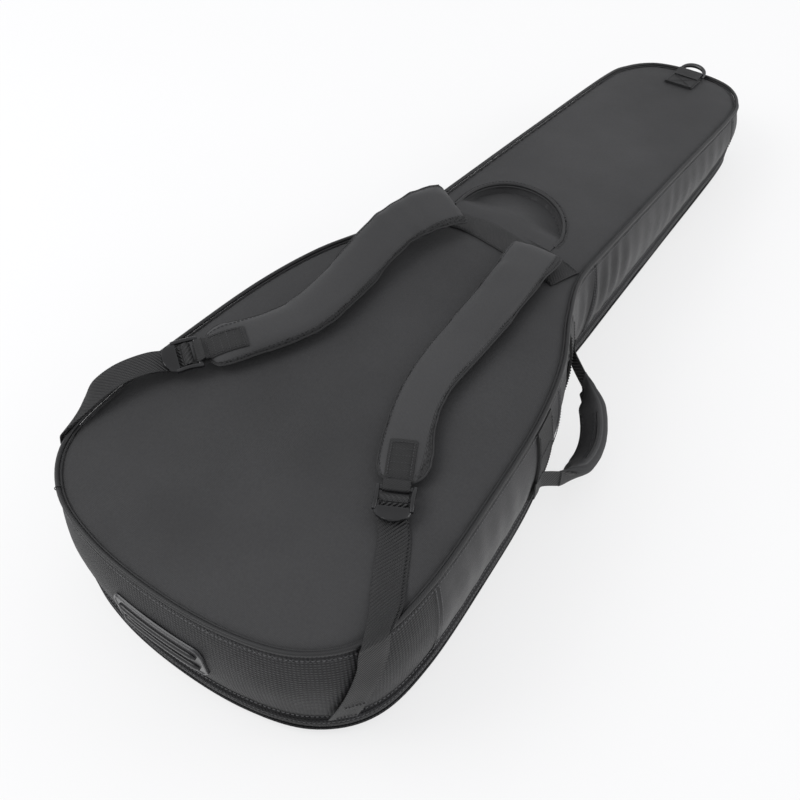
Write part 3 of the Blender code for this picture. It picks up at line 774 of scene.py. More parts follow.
def make_panels():
    under = PANEL_THICK - 0.001
    back_cloth = pillow("back_panel_cloth", (0, LENGTH), -0.0004, lambda x, y: back_height(y) - under,
                        lambda x, y: back_height(y) + crown(x, y), 0.0004, [SHELL, LINING])
    settle(back_cloth, "shell", "shell_cloth", "back_panel")
    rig.padded(back_cloth, fill=0.8)
    front = FRONT_BOTTOM + PANEL_THICK - 0.0008
    front_cloth = pillow("front_panel_cloth", (0, LENGTH), 0.0004, lambda x, y: FRONT_BOTTOM,
                         lambda x, y: front, 0.0022, [LINING, SHELL])
    settle(front_cloth, "lid", "shell_cloth", "front_panel")
    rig.padded(front_cloth, fill=0.8)

    def quilt(x, y):
        return 0.0012 * abs(math.sin(math.pi * (x + y) / 0.05)) * abs(math.sin(math.pi * (x - y) / 0.05))

    lining = pillow("front_lining_plush", (0, LENGTH), 0.0165, lambda x, y: front + 0.0002,
                    lambda x, y: front + 0.0016 + quilt(x, y), 0.0006, [LINING])
    settle(lining, "lid", "lining", "front_lining")
    lining = pillow("back_lining_plush", (0, LENGTH), 0.0165,
                    lambda x, y: back_height(y) - under - 0.0024 - quilt(x, y),
                    lambda x, y: back_height(y) - under - 0.0003, 0.0006, [LINING])
    settle(lining, "shell", "lining", "back_lining")
    for node, span, inset, seed in (("body_pocket", (0, 0.452), 0.0080, 0),
                                    ("neck_pocket", (0.500, 1.040), 0.0200, 5)):
        pocket = pillow(f"{node}_cloth", span, inset,
                        lambda x, y: 0.0002 + 0.0008 * noise.noise(Vector((x * 12, y * 12, seed))) ** 2,
                        lambda x, y: POCKET_DEPTH, 0.0030, [BALLISTIC, SHELL])
        settle(pocket, "lid", "shell_cloth", node)
        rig.padded(pocket, fill=0.4)


def make_piping():
    for name, body, node, level in (("back_piping_cord", "shell", "back_piping", back_height),
                                    ("front_piping_cord", "lid", "front_piping", lambda y: FRONT_BOTTOM)):
        points, ups = [], []
        for t in run_of(0.35, COUNT + 0.35, 0.006)[:-1]:
            points.append(seam(t, SEAM_EDGE, level(outline_point(t).y)))
            ups.append(outline_normal(t))
        size, look = (PIPING_RADIUS - 0.0005, PIPE) if body == "shell" else (0.0015, BALLISTIC)
        cord = tube(name, points, size, look, sides=12, closed=True)
        settle(cord, body, "piping", node)
        lip = [p - n * (PIPING_RADIUS + 0.0006) + Vector((0, 0, -0.0012)) for p, n in zip(points, ups)]
        if body == "shell":
            welt = tube("back_piping_welt", lip, 0.0011, BINDING, sides=6, closed=True)
            settle(welt, "shell", "piping")
            joint = parameter(0.028, -1)
            centre = seam(joint, SEAM_EDGE, back_height(outline_point(joint).y))
            out = outline_normal(joint)
            size = PIPING_RADIUS + 0.0003
            around = [centre + out * size * math.cos(a) + UP * size * math.sin(a)
                      for a in [math.tau * k / 20 for k in range(20)]]
            tick = tube("back_piping_joint", around, 0.0005, BINDING, sides=5, closed=True,
                        ups=[out.cross(UP)] * 20)
            settle(tick, "shell", "piping")


# ---------------------------------------------------------------- gusset, rim and zip

BOTTOM_PANEL_END = 0.142
BODY_PANEL_END = 0.400
SHOULDER_PANEL_END = 0.590
NECK_PANEL_END = 1.030


def ripple(kind, p, distance, share):
    """How far the loose gusset cloth stands in or out, at a point of a panel."""
    swell = math.sin(math.pi * clamp(share)) ** 0.8
    wave = noise.noise(Vector((p.x * 9, p.y * 9, p.z * 5)))
    if kind in ("bottom", "head"):
        return (0.0007 * wave + 0.0004 * noise.noise(p * 34)) * swell
    root = math.exp(-(((distance - 0.610) / 0.060) ** 2))
    phase = distance / 0.031 + 0.35 * wave + 0.4 * share
    fold = math.sin(math.tau * phase) * (0.0005 + 0.0019 * root)
    fine = 0.0008 * noise.noise(Vector((p.x * 40, p.y * 40, p.z * 9)))
    return (fold + fine + 0.0016 * wave) * swell


def make_gusset():
    marks = (BOTTOM_PANEL_END, BODY_PANEL_END, SHOULDER_PANEL_END, NECK_PANEL_END)
    right = [parameter(mark, 1) for mark in marks]
    left = [parameter(mark, -1) for mark in marks]
    runs = [("bottom", "bottom", left[0] - COUNT, right[0]), ("head", "head", right[3], left[3])]
    for k, place in enumerate(("body", "shoulder", "neck")):
        runs.append((f"right_{place}", place, right[k], right[k + 1]))
        runs.append((f"left_{place}", place, left[k + 1], left[k]))
    shares = [k / 15 for k in range(16)]
    for name, kind, start, end in runs:
        look, slot = (BALLISTIC, "ballistic_cloth") if kind == "bottom" else (GUSSET, "gusset_cloth")
        ends = (outline_point(start), outline_point(end))
        steps = run_of(start, end, 0.005)
        steps = [start, start + 0.012, start + 0.03] + steps[1:-1] + [end - 0.03, end - 0.012, end]
        sections = []
        for t in steps:
            middle = outline_point(t)
            gap = min((middle - ends[0]).length, (middle - ends[1]).length)
            tuck = 0.0016 * math.exp(-gap / 0.0022)
            outer = [seam(t, SEAM_EDGE + 0.0011, ZIP_PLANE + 0.0006)]
            outer.append(seam(t, SEAM_EDGE + 0.0022, ZIP_PLANE + 0.0016))
            for share in shares:
                p = wall_point(t, share)
                edge = min(share, 1 - share) * 0.1
                lip = 0.0008 * math.exp(-edge / 0.0025)
                p += outline_normal(t) * (ripple(kind, p, middle.y - SHIFT, share) - tuck - lip)
                outer.append(p)
            top = back_height(middle.y)
            inner = WALL_THICK + 0.0005
            low = wall_point(t, 0).z
            mitre = PIPING_RADIUS + 2 * GAP
            rest = ((-mitre, top - mitre), (-inner, top - inner), (-inner + 0.005, (low + top) / 2),
                    (-inner, low))
            sections.append(outer + [seam(t, o, z) for o, z in rest])
        last = len(shares) + 1
        wall = loft(f"gusset_{name}_cloth", sections, [look, LINING],
                    pick=lambda i, k: 0 if k < last or k == last + 4 else 1)
        settle(wall, "shell", slot, f"gusset_{name}")
        if kind == "bottom":
            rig.padded(wall, fill=0.7)
    for mark, side in [(mark, side) for mark in marks for side in (1, -1)]:
        t = parameter(mark, side)
        for step in (0.030, -0.030):
            line = [wall_point(t + step, 0.03 + 0.94 * k / 24, 0.0006) for k in range(25)]
            stitch("gusset_stitches", line, [outline_normal(t)] * 25)
    steps = run_of(0, COUNT, 0.006)
    normals = [outline_normal(t) for t in steps]
    stitch("gusset_stitches", [wall_point(t, 0.952, 0.0004) for t in steps], normals)
    stitch("gusset_stitches", [wall_point(t, 0.045, 0.0004) for t in steps], normals)


# A tooth of the zip's coil: its eight corners, and its six faces
TOOTH = ((-1, -1, -0.6), (1, -1, -0.6), (1, 1, -1), (-1, 1, -1), (-1, -1, 0.6), (1, -1, 0.6), (1, 1, 1), (-1, 1, 1))
TOOTH_FACES = ((0, 1, 2, 3), (4, 5, 6, 7), (0, 1, 5, 4), (1, 2, 6, 5), (2, 3, 7, 6), (3, 0, 4, 7))


def make_rim():
    """The lid's rim, the two zip tapes with their coils, and the fabric hinge."""
    top = ZIP_PLANE - TAPE_HEIGHT - 1.5 * GAP
    bottom = FRONT_BOTTOM + 0.0014
    inner = WALL_THICK + 0.0005
    outer = [(SEAM_EDGE - 0.0006 + 0.0020 * math.sin(math.pi * k / 6), bottom + (top - bottom) * k / 6)
             for k in range(7)]
    rim = outer + [(SEAM_EDGE + 0.0020, ZIP_PLANE - 0.0014), (SEAM_EDGE + 0.0011, ZIP_PLANE - 0.0004)]
    rim += [(-inner, top), (-inner, FRONT_BOTTOM + inner), (-0.0025, bottom)]
    sections = []
    for t in run_of(0, COUNT, 0.006)[:-1]:
        p = outline_point(t)
        sway = 0.0007 * noise.noise(Vector((p.x * 25, p.y * 25, 2)))
        sections.append([seam(t, o + (sway if 0 < i < 6 else 0), z) for i, (o, z) in enumerate(rim)])
    piece = loft("front_rim_cloth", sections, [BALLISTIC, LINING], closed=True,
                 pick=lambda i, k: 1 if k == 9 else 0)
    settle(piece, "lid", "shell_cloth", "front_rim")
    steps = run_of(0, COUNT, 0.006)
    normals = [outline_normal(t) for t in steps]
    stitch("rim_stitches", [seam(t, SEAM_EDGE + 0.0008, top - 0.0022) for t in steps], normals)
    hinge = (parameter(0.340, -1), parameter(0.130, -1))
    zipped = run_of(hinge[1] - COUNT + 0.03, hinge[0] - 0.03, 0.006)
    sewn = run_of(hinge[0] + 0.03, hinge[1] - 0.03, 0.006)
    for name, node, sign, body in (("zip_tape_lower", "zip_tape_lid", -1, "lid"),
                                   ("zip_tape_upper", "zip_tape_shell", 1, "shell")):
        near, far = ZIP_PLANE + sign * 0.0005, ZIP_PLANE + sign * (TAPE_HEIGHT + 0.0003)
        profile = ((-0.0050, near), (-0.0050, far), (SEAM_EDGE - 0.0004, far),
                   (SEAM_EDGE + 0.0002, far - sign * 0.0006), (SEAM_EDGE - 0.0012, near + sign * 0.0008),
                   (SEAM_EDGE - 0.0020, near))
        tape = loft(name, [[seam(t, o, z) for o, z in profile] for t in zipped], [TAPE])
        settle(tape, body, "zip", node)
        verts, faces = [], []
        line = [seam(t, SEAM_EDGE - 0.0016, ZIP_PLANE + sign * 0.0002) for t in zipped]
        spots = resample(line, 0.0022)
        for n, (p, i, _) in enumerate(spots[:-1]):
            along = (spots[n + 1][0] - p).normalized()
            out = Vector((along.y, -along.x, 0))
            base = len(verts)
            shift = 0.00055 if sign > 0 else -0.00055
            for a, b, c in TOOTH:
                verts.append(p + along * (0.00042 * a + shift) + out * 0.0011 * b + Vector((0, 0, 0.0006 * c)))
            faces += [[base + v for v in face] for face in TOOTH_FACES]
        uvs = [(0.0005 * (k % 2), 0.0005 * (k // 2)) for face in faces for k in range(4)]
        settle(build(f"{name}_coil", verts, faces, uvs, [COIL]), body, "zip")
    profile = ((-0.005, -0.0032), (-0.005, 0.0032), (0.0028, 0.0034), (0.0040, 0.0018), (0.0040, -0.0018),
               (0.0028, -0.0034))
    flap = loft("fabric_hinge_cloth", [[seam(t, o, ZIP_PLANE + z) for o, z in profile] for t in sewn], [GUSSET])
    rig.slot(flap, "gusset_cloth")
    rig.replaces(flap, "fabric_hinge")
    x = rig.box("fabric_hinge")[0].x
    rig.blend(flap, "lid", "shell", start=(x, -0.3, ZIP_PLANE - 0.003), end=(x, -0.3, ZIP_PLANE + 0.003))


# ---------------------------------------------------------------- bumper and trim


# Over the bumper's plate, from its lower edge to its upper: place, and height above the gusset
BUMPER_PROFILE = ((-1, 0.0011), (-0.97, 0.0021), (-0.6, 0.0022), (0, 0.0020), (0.6, 0.0022), (0.97, 0.0021),
                  (1, 0.0011))


def make_bumper():
    """Moulded guard on the bottom end: a plate with a raised border and two glossy ribs."""
    half = (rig.box("bumper")[1].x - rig.box("bumper")[0].x) / 2
    middle = 0.42

    def spot(across, share, outward):
        t = (1 if across >= 0 else -1) * find_bottom(abs(across))
        return wall_point(t, middle + share, outward)

    rows = []
    for k in range(41):
        u = -1 + k / 20
        corner = 1 - 0.35 * max(0.0, (abs(u) - 0.86) / 0.14) ** 2.2
        rows.append((u * half, 0.205 * corner))
    sections = []
    for across, share in rows:
        outer = [spot(across, share * s, h) for s, h in BUMPER_PROFILE]
        sections.append(outer + [spot(across, share, GAP), spot(across, -share, GAP)])
    settle(loft("bumper_plate", sections, [RUBBER]), "shell", "rubber", "bumper")
    border = rows + [(u, -s) for u, s in reversed(rows)]
    points = [spot(u * 0.975, s * 0.93, 0.0022) for u, s in border]
    normals = [outline_normal(0)] * len(points)
    settle(tube("bumper_border", points, 0.0010, RUBBER, sides=6, closed=True, ups=normals), "shell", "rubber")
    reach = 0.045  # half the length of a rib
    spots = [(-reach + 2 * reach * k / 36) for k in range(37)]
    sizes = [0.0034 * min(1.0, (reach + 0.0015 - abs(x)) / 0.005) ** 0.5 for x in spots]
    for label, share in (("upper", 0.088), ("lower", -0.088)):
        points = [spot(x, share, 0.0028) for x in spots]
        rib = tube(f"bumper_rib_{label}", points, sizes, PLASTIC, sides=12, ups=[outline_normal(0)] * len(spots),
                   flat=0.8)
        settle(rib, "shell", "rubber")


def find_bottom(half_width):
    low, high = 0.0, 2.0
    for _ in range(30):
        middle = (low + high) / 2
        low, high = (middle, high) if outline_point(middle).x < half_width else (low, middle)
    return low


def over_back(name, rows, thick, look, lift, steps=6):
    """A band over the back panel. Each row is x, distance and half width."""
    path = smooth_path(rows, steps)
    sections, frames = [], []
    profile = [(-1, 0), (-1, 0.6), (-0.96, 1), (-0.5, 1), (0, 1), (0.5, 1), (0.96, 1), (1, 0.6), (1, 0)]
    for i, row in enumerate(path):
        before, after = path[max(0, i - 1)], path[min(len(path) - 1, i + 1)]
        across = Vector((after[1] - before[1], before[0] - after[0], 0)).normalized()
        plan = [Vector((row[0], row[1], 0)) + across * u * row[2] for u, _ in profile]
        sections.append([back(p.x, p.y, lift + thick * v) for p, (_, v) in zip(plan, profile)])
        frames.append((Vector((row[0], row[1], 0)), across, row[2]))
    return loft(name, sections, [look]), frames


def box_stitches(group, frames, lift, inset=0.0025, cross=True):
    """Rows of thread round a sewn patch, and a cross between its corners."""

    def at(i, u):
        base, across, half = frames[i]
        p = base + across * u * (half - inset)
        return back(p.x, p.y, lift)

    count = len(frames)
    lines = [[at(i, -1) for i in range(count)], [at(i, 1) for i in range(count)]]
    for i in (0, count - 1):
        lines.append([at(i, -1 + k / 6) for k in range(13)])
    if cross:
        for sign in (1, -1):
            lines.append([at(i, sign * (-1 + 2 * i / (count - 1))) for i in range(count)])
    for line in lines:
        stitch(group, line, [UP] * len(line), pitch=0.0036)


def make_trim():
    rows = [(x, y, 0.0215) for x, y in ((-0.0955, 0.556), (-0.050, 0.5655), (0.0, 0.5605), (0.050, 0.551),
                                        (0.0955, 0.538))]
    band, frames = over_back("strap_band_webbing", rows, 0.0016, BAND, 0.0006, steps=8)
    settle(band, "shell", "webbing", "strap_band")
    box_stitches("trim_stitches", frames, 0.0024, 0.0022, cross=False)
    verts, faces, rings, turns = [], [], 30, 64
    middle = Vector((HOLD_X, HOLD_START + SHIFT - 0.026, 0))
    for k in range(turns + 1):
        turn = math.pi * clamp((k - 6) / (turns - 12))
        x = HOLD_X + 0.993 * (HOLD_WIDE * math.cos(turn) - HOLD_LEAN * math.sin(turn))
        y = HOLD_START + 0.993 * HOLD_LONG * math.sin(turn) + SHIFT - 0.026 * clamp((6 - min(k, turns - k)) / 6)
        for i in range(rings + 1):
            p = middle.lerp(Vector((x, y, 0)), math.sin(math.pi / 2 * i / rings))
            p.z = back_height(p.y) + 0.0017 - dish(hold_radius(p.x, p.y), p.y)
            verts.append(p)
    for k in range(turns):
        for i in range(rings):
            a = k * (rings + 1) + i
            faces.append([a, a + 1, a + rings + 2, a + rings + 1])
    uvs = [(verts[v].x, verts[v].y) for face in faces for v in face]
    panel = build("hand_hold_panel", verts, faces, uvs, [SHELL], merge=0.00001)
    panel.modifiers.new("cloth", "SOLIDIFY").thickness = 0.0012
    settle(panel, "shell", "shell_cloth")
    rim = tube("hand_hold_binding", hold_arc(1.0, 0.0004), 0.0023, PIPE, sides=10)
    settle(rim, "shell", "webbing", "hand_hold_rim")
    settle(tube("hand_hold_welt", hold_arc(0.965, -0.0016), 0.0012, BINDING, sides=6), "shell", "webbing")
    outer = [back(p.x, p.y - SHIFT, 0.0002) for p in hold_arc(1.065, 0.0)]
    stitch("trim_stitches", outer, [UP] * len(outer))
    rows = [(0.0, y, 0.021) for y in (1.060, 1.075, 1.092)]
    tab, frames = over_back("head_tab_webbing", rows, 0.0032, WEB, 0.0006)
    settle(tab, "shell", "webbing", "head_tab")
    box_stitches("trim_stitches", frames, 0.0040)
    # the tab's fold, round the straight side of the ring
    middle = Vector((0, 1.105 + SHIFT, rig.box("head_tab")[0].z + 0.0062))
    turned = [Vector((0, -math.cos(a), math.sin(a))) for a in [math.pi * (0.5 + k / 16) for k in range(17)]]
    fold = [back(0, 1.088, 0.0046)] + [middle + way * 0.0036 for way in turned] + [back(0, 1.088, 0.0030)]
    wides = [Vector((0.0185, 0, 0))] * len(fold)
    normals = [UP] + turned + [-UP]
    settle(strap("d_ring_fold", fold, wides, normals, 0.0014, WEB), "shell", "webbing")


# ---------------------------------------------------------------- shoulder straps

# Each row is x, distance, extra height, half width and bank: how far the outer edge stands above the middle
RIGHT_PAD = (
    (0.050, 0.557, 0.002, 0.0325, 0),
    (0.0535, 0.520, 0.000, 0.0325, 0),
    (0.059, 0.455, 0.000, 0.032, 0),
    (0.062, 0.385, 0.000, 0.031, 0),
    (0.0645, 0.330, 0.000, 0.028, 0),
    (0.0735, 0.285, 0.000, 0.027, 0),
    (0.0880, 0.248, 0.000, 0.027, 0),
    (0.1000, 0.2215, 0.000, 0.027, 0),
    (0.1130, 0.196, 0.000, 0.023, 0),
)
LEFT_PAD = (
    (-0.0630, 0.561, 0.0150, 0.0300, 0.0110),
    (-0.0710, 0.539, 0.0175, 0.0305, 0.0110),
    (-0.0800, 0.512, 0.0185, 0.0300, 0.0100),
    (-0.0880, 0.480, 0.0165, 0.0295, 0.0090),
    (-0.0895, 0.449, 0.0130, 0.0290, 0.0080),
    (-0.0880, 0.400, 0.0085, 0.0290, 0.0070),
    (-0.0865, 0.350, 0.0065, 0.0290, 0.0055),
    (-0.0905, 0.315, 0.0055, 0.0290, 0.0045),
    (-0.1010, 0.286, 0.0050, 0.0275, 0.0040),
    (-0.1130, 0.262, 0.0050, 0.0270, 0.0040),
    (-0.1260, 0.237, 0.0055, 0.0265, 0.0045),
    (-0.1405, 0.2165, 0.0060, 0.0245, 0.0050),
)
PAD_STEPS = 12
SWELL = 0.0022  # what the inflated cloth gains on its starting shape


def pad_frames(rows):
    """Along the pad: centre, direction across, direction along, half width, lift and bank."""
    path = smooth_path(rows, PAD_STEPS)
    frames = []
    for i, row in enumerate(path):
        before, after = path[max(0, i - 1)], path[min(len(path) - 1, i + 1)]
        along = Vector((after[0] - before[0], after[1] - before[1], 0)).normalized()
        base, across = Vector((row[0], row[1], 0)), Vector((along.y, -along.x, 0))
        frames.append((base, across, along, row[3], row[2], row[4]))
    return frames


def pad_half(frames, i, half):
    """Half width, rounded off at the pad's lower end."""
    left = sum((frames[k + 1][0] - frames[k][0]).length for k in range(i, len(frames) - 1))
    round_off = 0.020
    if left >= round_off:
        return half
    return half * math.sqrt(max(0.12, 1 - (1 - left / round_off) ** 2.4))


INFLATE_FRAMES = 20


def inflate(piece, cap):
    """Cloth pressure inside a remeshed copy of the piece, its travel capped, then one smoothing subdivision."""
    bpy.context.view_layer.objects.active = piece
    bpy.ops.object.select_all(action="DESELECT")
    piece.select_set(True)
    remesh = piece.modifiers.new("remesh", "REMESH")
    remesh.mode = "VOXEL"
    remesh.voxel_size = 0.0042
    bpy.ops.object.modifier_apply(modifier="remesh")
    start = [v.co.copy() for v in piece.data.vertices]
    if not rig.quick():
        cloth = piece.modifiers.new("cloth", "CLOTH")
        cloth.settings.use_pressure = True
        cloth.settings.uniform_pressure_force = 4.0
        cloth.settings.effector_weights.gravity = 0.0
        cloth.settings.quality = 5
        cloth.settings.tension_stiffness = 12
        cloth.settings.compression_stiffness = 12
        scene = bpy.context.scene
        for number in range(1, INFLATE_FRAMES + 1):
            scene.frame_set(number)
        bpy.ops.object.modifier_apply(modifier="cloth")
        scene.frame_set(1)
        for v, old in zip(piece.data.vertices, start):
            move = v.co - old
            if move.length > cap:
                v.co = old + move.normalized() * cap
    smooth = piece.modifiers.new("smooth", "SMOOTH")
    smooth.factor = 0.5
    smooth.iterations = 9
    bpy.ops.object.modifier_apply(modifier="smooth")
    rise = piece.modifiers.new("subdivide", "SUBSURF")
    rise.levels = 1
    bpy.ops.object.modifier_apply(modifier="subdivide")


def paint_pad(piece, frames, looks, top_of):
    """UVs in metres along the pad, and the mesh on its sides and underside."""
    data = piece.data
    tree = tree_of([f[0] + ORIGIN for f in frames])
    run = [0.0]
    for a, b in zip(frames, frames[1:]):
        run.append(run[-1] + (b[0] - a[0]).length)
    spots = []
    for v in data.vertices:
        i = tree.find((v.co.x, v.co.y, 0))[1]
        base, across, along, half, _, bank = frames[i]
        offset = Vector((v.co.x, v.co.y - SHIFT, 0)) - base
        u = offset.dot(across)
        spots.append((u, run[i] + offset.dot(along), top_of(i) + bank * u / half, half))
    layer = data.uv_layers.new(name=UV) if UV not in data.uv_layers else data.uv_layers[UV]
    data.materials.clear()
    for look in looks:
        data.materials.append(look)
    for polygon in data.polygons:
        polygon.use_smooth = True
        u, _, top, half = spots[polygon.vertices[0]]
        side = polygon.center.z < top - 0.0036 or u < 0.0062 - half
        polygon.material_index = 1 if side else 0
        for index in polygon.loop_indices:
            layer.data[index].uv = spots[data.loops[index].vertex_index][:2]


def make_pad(side, rows):
    frames = pad_frames(rows)
    sections = []
    profile = rounded_ring(28, 0.42, 0.62)
    count = len(frames)
    tops = []
    for i, (base, across, along, half, lift, bank) in enumerate(frames):
        wide = pad_half(frames, i, half) + 0.0008
        share = i / (count - 1)
        thin = 1 - 0.22 * (1 - ease(share / 0.05))
        thin *= 1 - 0.30 * ease((share - 0.90) / 0.10)
        thick = (PAD_THICK - 2 * SWELL + 0.0008) * thin
        crease = 0.0
        if side == "left":
            for at, size in ((0.20, 0.0018), (0.265, 0.0015), (0.33, 0.0012)):
                crease -= size * math.exp(-(((share - at) / 0.014) ** 2))
        z0 = PAD_LIFT + SWELL + lift
        mid = flat_back(base.x, base.y, z0 + thick / 2 + crease)
        tops.append(mid.z + thick / 2 + SWELL)
        ring = []
        for u, v in profile:
            p = mid + across * u * wide
            dome = 0.0008 * (1 - u * u)
            p.z += v * thick / 2 + (dome if v > 0 else 0) + bank * u
            ring.append(p)
        sections.append(ring)
    pad = loft(f"strap_pad_{side}_cloth", sections, [STRAP])
    inflate(pad, cap=0.0034)
    paint_pad(pad, frames, [STRAP, MESH], lambda i: tops[i])
    settle(pad, "shell", "strap_cloth", f"strap_pad_{side}")
    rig.padded(pad, fill=0.75)
    polygons = [list(p.vertices) for p in pad.data.polygons]
    surface = BVHTree.FromPolygons([v.co for v in pad.data.vertices], polygons)
    loop = []
    for sign in (1, -1):
        line = []
        for i, (base, across, along, half, lift, bank) in enumerate(frames):
            wide = pad_half(frames, i, half)
            p = base + ORIGIN + across * sign * (wide + 0.004)
            p.z = tops[i] - 0.0034 + bank * sign * wide / half
            line.append(p)
        loop.append(line)
    base, across, along, _, _, bank = frames[-1]
    turn = []
    for k in range(1, 8):
        angle = math.pi / 2 * (1 - 2 * k / 8)
        p = base + ORIGIN + across * math.sin(angle) * 0.012
        p += along * (0.004 + 0.003 * math.cos(angle))
        p.z = tops[-1] - 0.0034 + bank * math.sin(angle) * 0.5
        turn.append(p)
    border = loop[0] + turn + list(reversed(loop[1]))
    snapped = []
    for p in border:
        near, normal, _, _ = surface.find_nearest(p)
        snapped.append(near + normal * 0.0003)
    snapped = smooth_line(snapped, 3)
    settle(tube(f"strap_binding_{side}", snapped, 0.0011, BINDING, sides=6), "shell", "strap_cloth")
    for sign in (1, -1):
        line = []
        for i in range(2, count - 2):
            base, across = frames[i][:2]
            wide = pad_half(frames, i, frames[i][3])
            p = base + Vector((0, SHIFT, 0.3)) + across * sign * (wide - 0.0068)
            hit = surface.ray_cast(p, Vector((0, 0, -1)))[0]
            if hit:
                line.append(hit + Vector((0, 0, 0.0001)))
            if not hit or i == count - 3:
                if len(line) > 3:
                    stitch("strap_stitches", line, [UP] * len(line))
                line = []
    return frames, surface, tops


def smooth_line(points, rounds):
    for _ in range(rounds):
        points = [points[0]] + [points[i] * 0.5 + (points[i - 1] + points[i + 1]) * 0.25
                                for i in range(1, len(points) - 1)] + [points[-1]]
    return points


def on_surface(surface, x, y, above, miss):
    hit = surface.ray_cast(Vector((x, y, 0.3)), Vector((0, 0, -1)))[0]
    z = hit.z if hit else miss
    return Vector((x, y, max(z, miss - 0.006) + above))


LOCK_CLEAR = 0.0042  # the ladder locks' hinge lines past the pads' ends
LOCK_DROP = 0.0035  # and below the pads' tops


def make_strap_ends(side, rows, frames, surface, tops):
    """The sewn patch on the pad's end, its loop, the ladder lock, and the webbing with its tail."""
    along = (Vector((rows[-1][0] - rows[-2][0], rows[-1][1] - rows[-2][1], 0))).normalized()
    across = Vector((along.y, -along.x, rows[-1][4] / rows[-1][3])).normalized()
    end = Vector((rows[-1][0], rows[-1][1] + SHIFT, 0))
    top = tops[-1]
    sections = []
    half = WEB_WIDTH / 2
    for k in range(13):
        base = end - along * (0.046 - 0.044 * k / 12)
        ring = []
        for u, v in ((-1, 0), (-1, 0.6), (-0.94, 1), (-0.47, 1), (0, 1), (0.47, 1), (0.94, 1), (1, 0.6), (1, 0)):
            p = base + across * half * u
            ring.append(on_surface(surface, p.x, p.y, 0.0002 + 0.0016 * v, top + across.z * half * u))
        sections.append(ring)
    patch = loft(f"strap_patch_{side}_webbing", sections, [BAND])
    settle(patch, "shell", "webbing", f"strap_patch_{side}")
    last = len(sections) - 1
    lines = [[s[column].lerp(s[4], 0.14) for s in sections[1:-1]] for column in (2, 6)]
    for k in (1, last - 1):
        lines.append([sections[k][c] for c in range(2, 7)])
    for k in range(3, last - 2, 2):
        lines.append([sections[k][2].lerp(sections[k][6], c / 4) for c in range(5)])
    for line in lines:
        stitch("strap_stitches", [p + Vector((0, 0, 0.0001)) for p in line], [UP] * len(line), pitch=0.0032)
    lock = f"ladder_lock_{side}"
    pivot = end + along * LOCK_CLEAR
    hinge = flat_back(pivot.x, pivot.y - SHIFT, PAD_LIFT + rows[-1][2] + PAD_THICK - LOCK_DROP - 0.0016)
    up = across.cross(along)
    up = up if up.z > 0 else -up

    def at(x, y, z=0.0):
        return hinge + across * x + along * y + up * z

    # the loop that holds the lock: from the patch, round the top bar and back under the pad
    turn = [(0.0026 * math.sin(a), 0.0026 * math.cos(a)) for a in [math.pi * k / 8 for k in range(9)]]
    turnings = [(-0.0012, 0.0030)] + turn + [(-0.0050, -0.0026), (-0.0110, -0.0022)]
    points = [sections[-1][4] + up * 0.0002] + [at(0, y, z) for y, z in turnings]
    normals = [step_at(points, i).cross(across).normalized() * -1 for i in range(len(points))]
    loop_half = [across * (half - 0.0005)] * len(points)
    settle(strap(f"strap_loop_{side}", points, loop_half, normals, 0.0014, BAND), "shell", "webbing")
    make_lock(at, up, lock)
    make_webbing(side, at, across, half)


def make_lock(at, up, lock):
    """Ladder lock: two side rails, a flared top bar, a flat middle bar, and a curved tongue to lift."""
    rail, reach = 0.0180, 0.0232
    parts = []

    def bar(points, half, thick, rounding=0.6):
        sections = []
        ring = rounded_ring(12, rounding, rounding)
        for i, p in enumerate(points):
            step = step_at(points, i).normalized()
            side_way = step.cross(up).normalized()
            rise = side_way.cross(step)
            w = half[i] if isinstance(half, list) else half
            sections.append([p + side_way * w * u + rise * thick * v for u, v in ring])
        parts.append(sections)

    for sign in (1, -1):
        points = [at(sign * (rail - 0.0018 + 0.0006 * abs(k - 4) / 4), -0.0024 + (reach + 0.0030) * k / 8,
                     0.0006 + 0.0012 * math.sin(math.pi * k / 8)) for k in range(9)]
        bar(points, [0.0016] + [0.0021] * 7 + [0.0016], 0.0021)
    bar([at(-rail + 2 * rail * k / 8, -0.0004, 0.0004) for k in range(9)],
        [0.0028, 0.0027] + [0.0022] * 5 + [0.0027, 0.0028], 0.0019, 0.7)
    bar([at(-rail + 0.001 + (2 * rail - 0.002) * k / 6, 0.0108, 0.0003) for k in range(7)], 0.0022, 0.0013)
    tongue = []
    for k in range(17):
        share = k / 16
        wide = 0.0176 - 0.0036 * share
        wide *= 1.0 if share < 0.45 else math.sqrt(max(0.10, 1 - ((share - 0.45) / 0.56) ** 2.4))
        tongue.append((at(0, 0.0205 + 0.0150 * share, 0.0006 + 0.0016 * share**2), wide))
    bar([p for p, _ in tongue], [w for _, w in tongue], 0.0018, 0.45)
    verts, faces = [], []
    for sections in parts:
        faces += skin(len(verts), len(sections), len(sections[0]))
        verts += [p for section in sections for p in section]
    uvs = [(verts[v].x, verts[v].y) for face in faces for v in face]
    settle(build(f"{lock}_plastic", verts, faces, uvs, [PLASTIC]), lock, "black_plastic", lock)


WEBBING_PLANS = {  # x, distance and height above the panel, between the lock and the back seam
    "right": ((0.1400, 0.1520, 0.0050), (0.1530, 0.1280, 0.0034), (0.1650, 0.1070, 0.0030),
              (0.1745, 0.0910, 0.0050)),
    "left": ((-0.1720, 0.1760, 0.0175), (-0.1840, 0.1500, 0.0185), (-0.1900, 0.1240, 0.0150),
             (-0.1905, 0.1030, 0.0085)),
}
TAIL_SIDE = 0.0036  # how far the loose tail lies to one side of the webbing
TAIL_SLACK = {"right": 0.0004, "left": 0.0030}  # and how far it sags under it
# Where it crosses the back seam, and its lower end
WEBBING_ENDS = {"right": (0.070, 0.042), "left": (0.084, 0.056)}


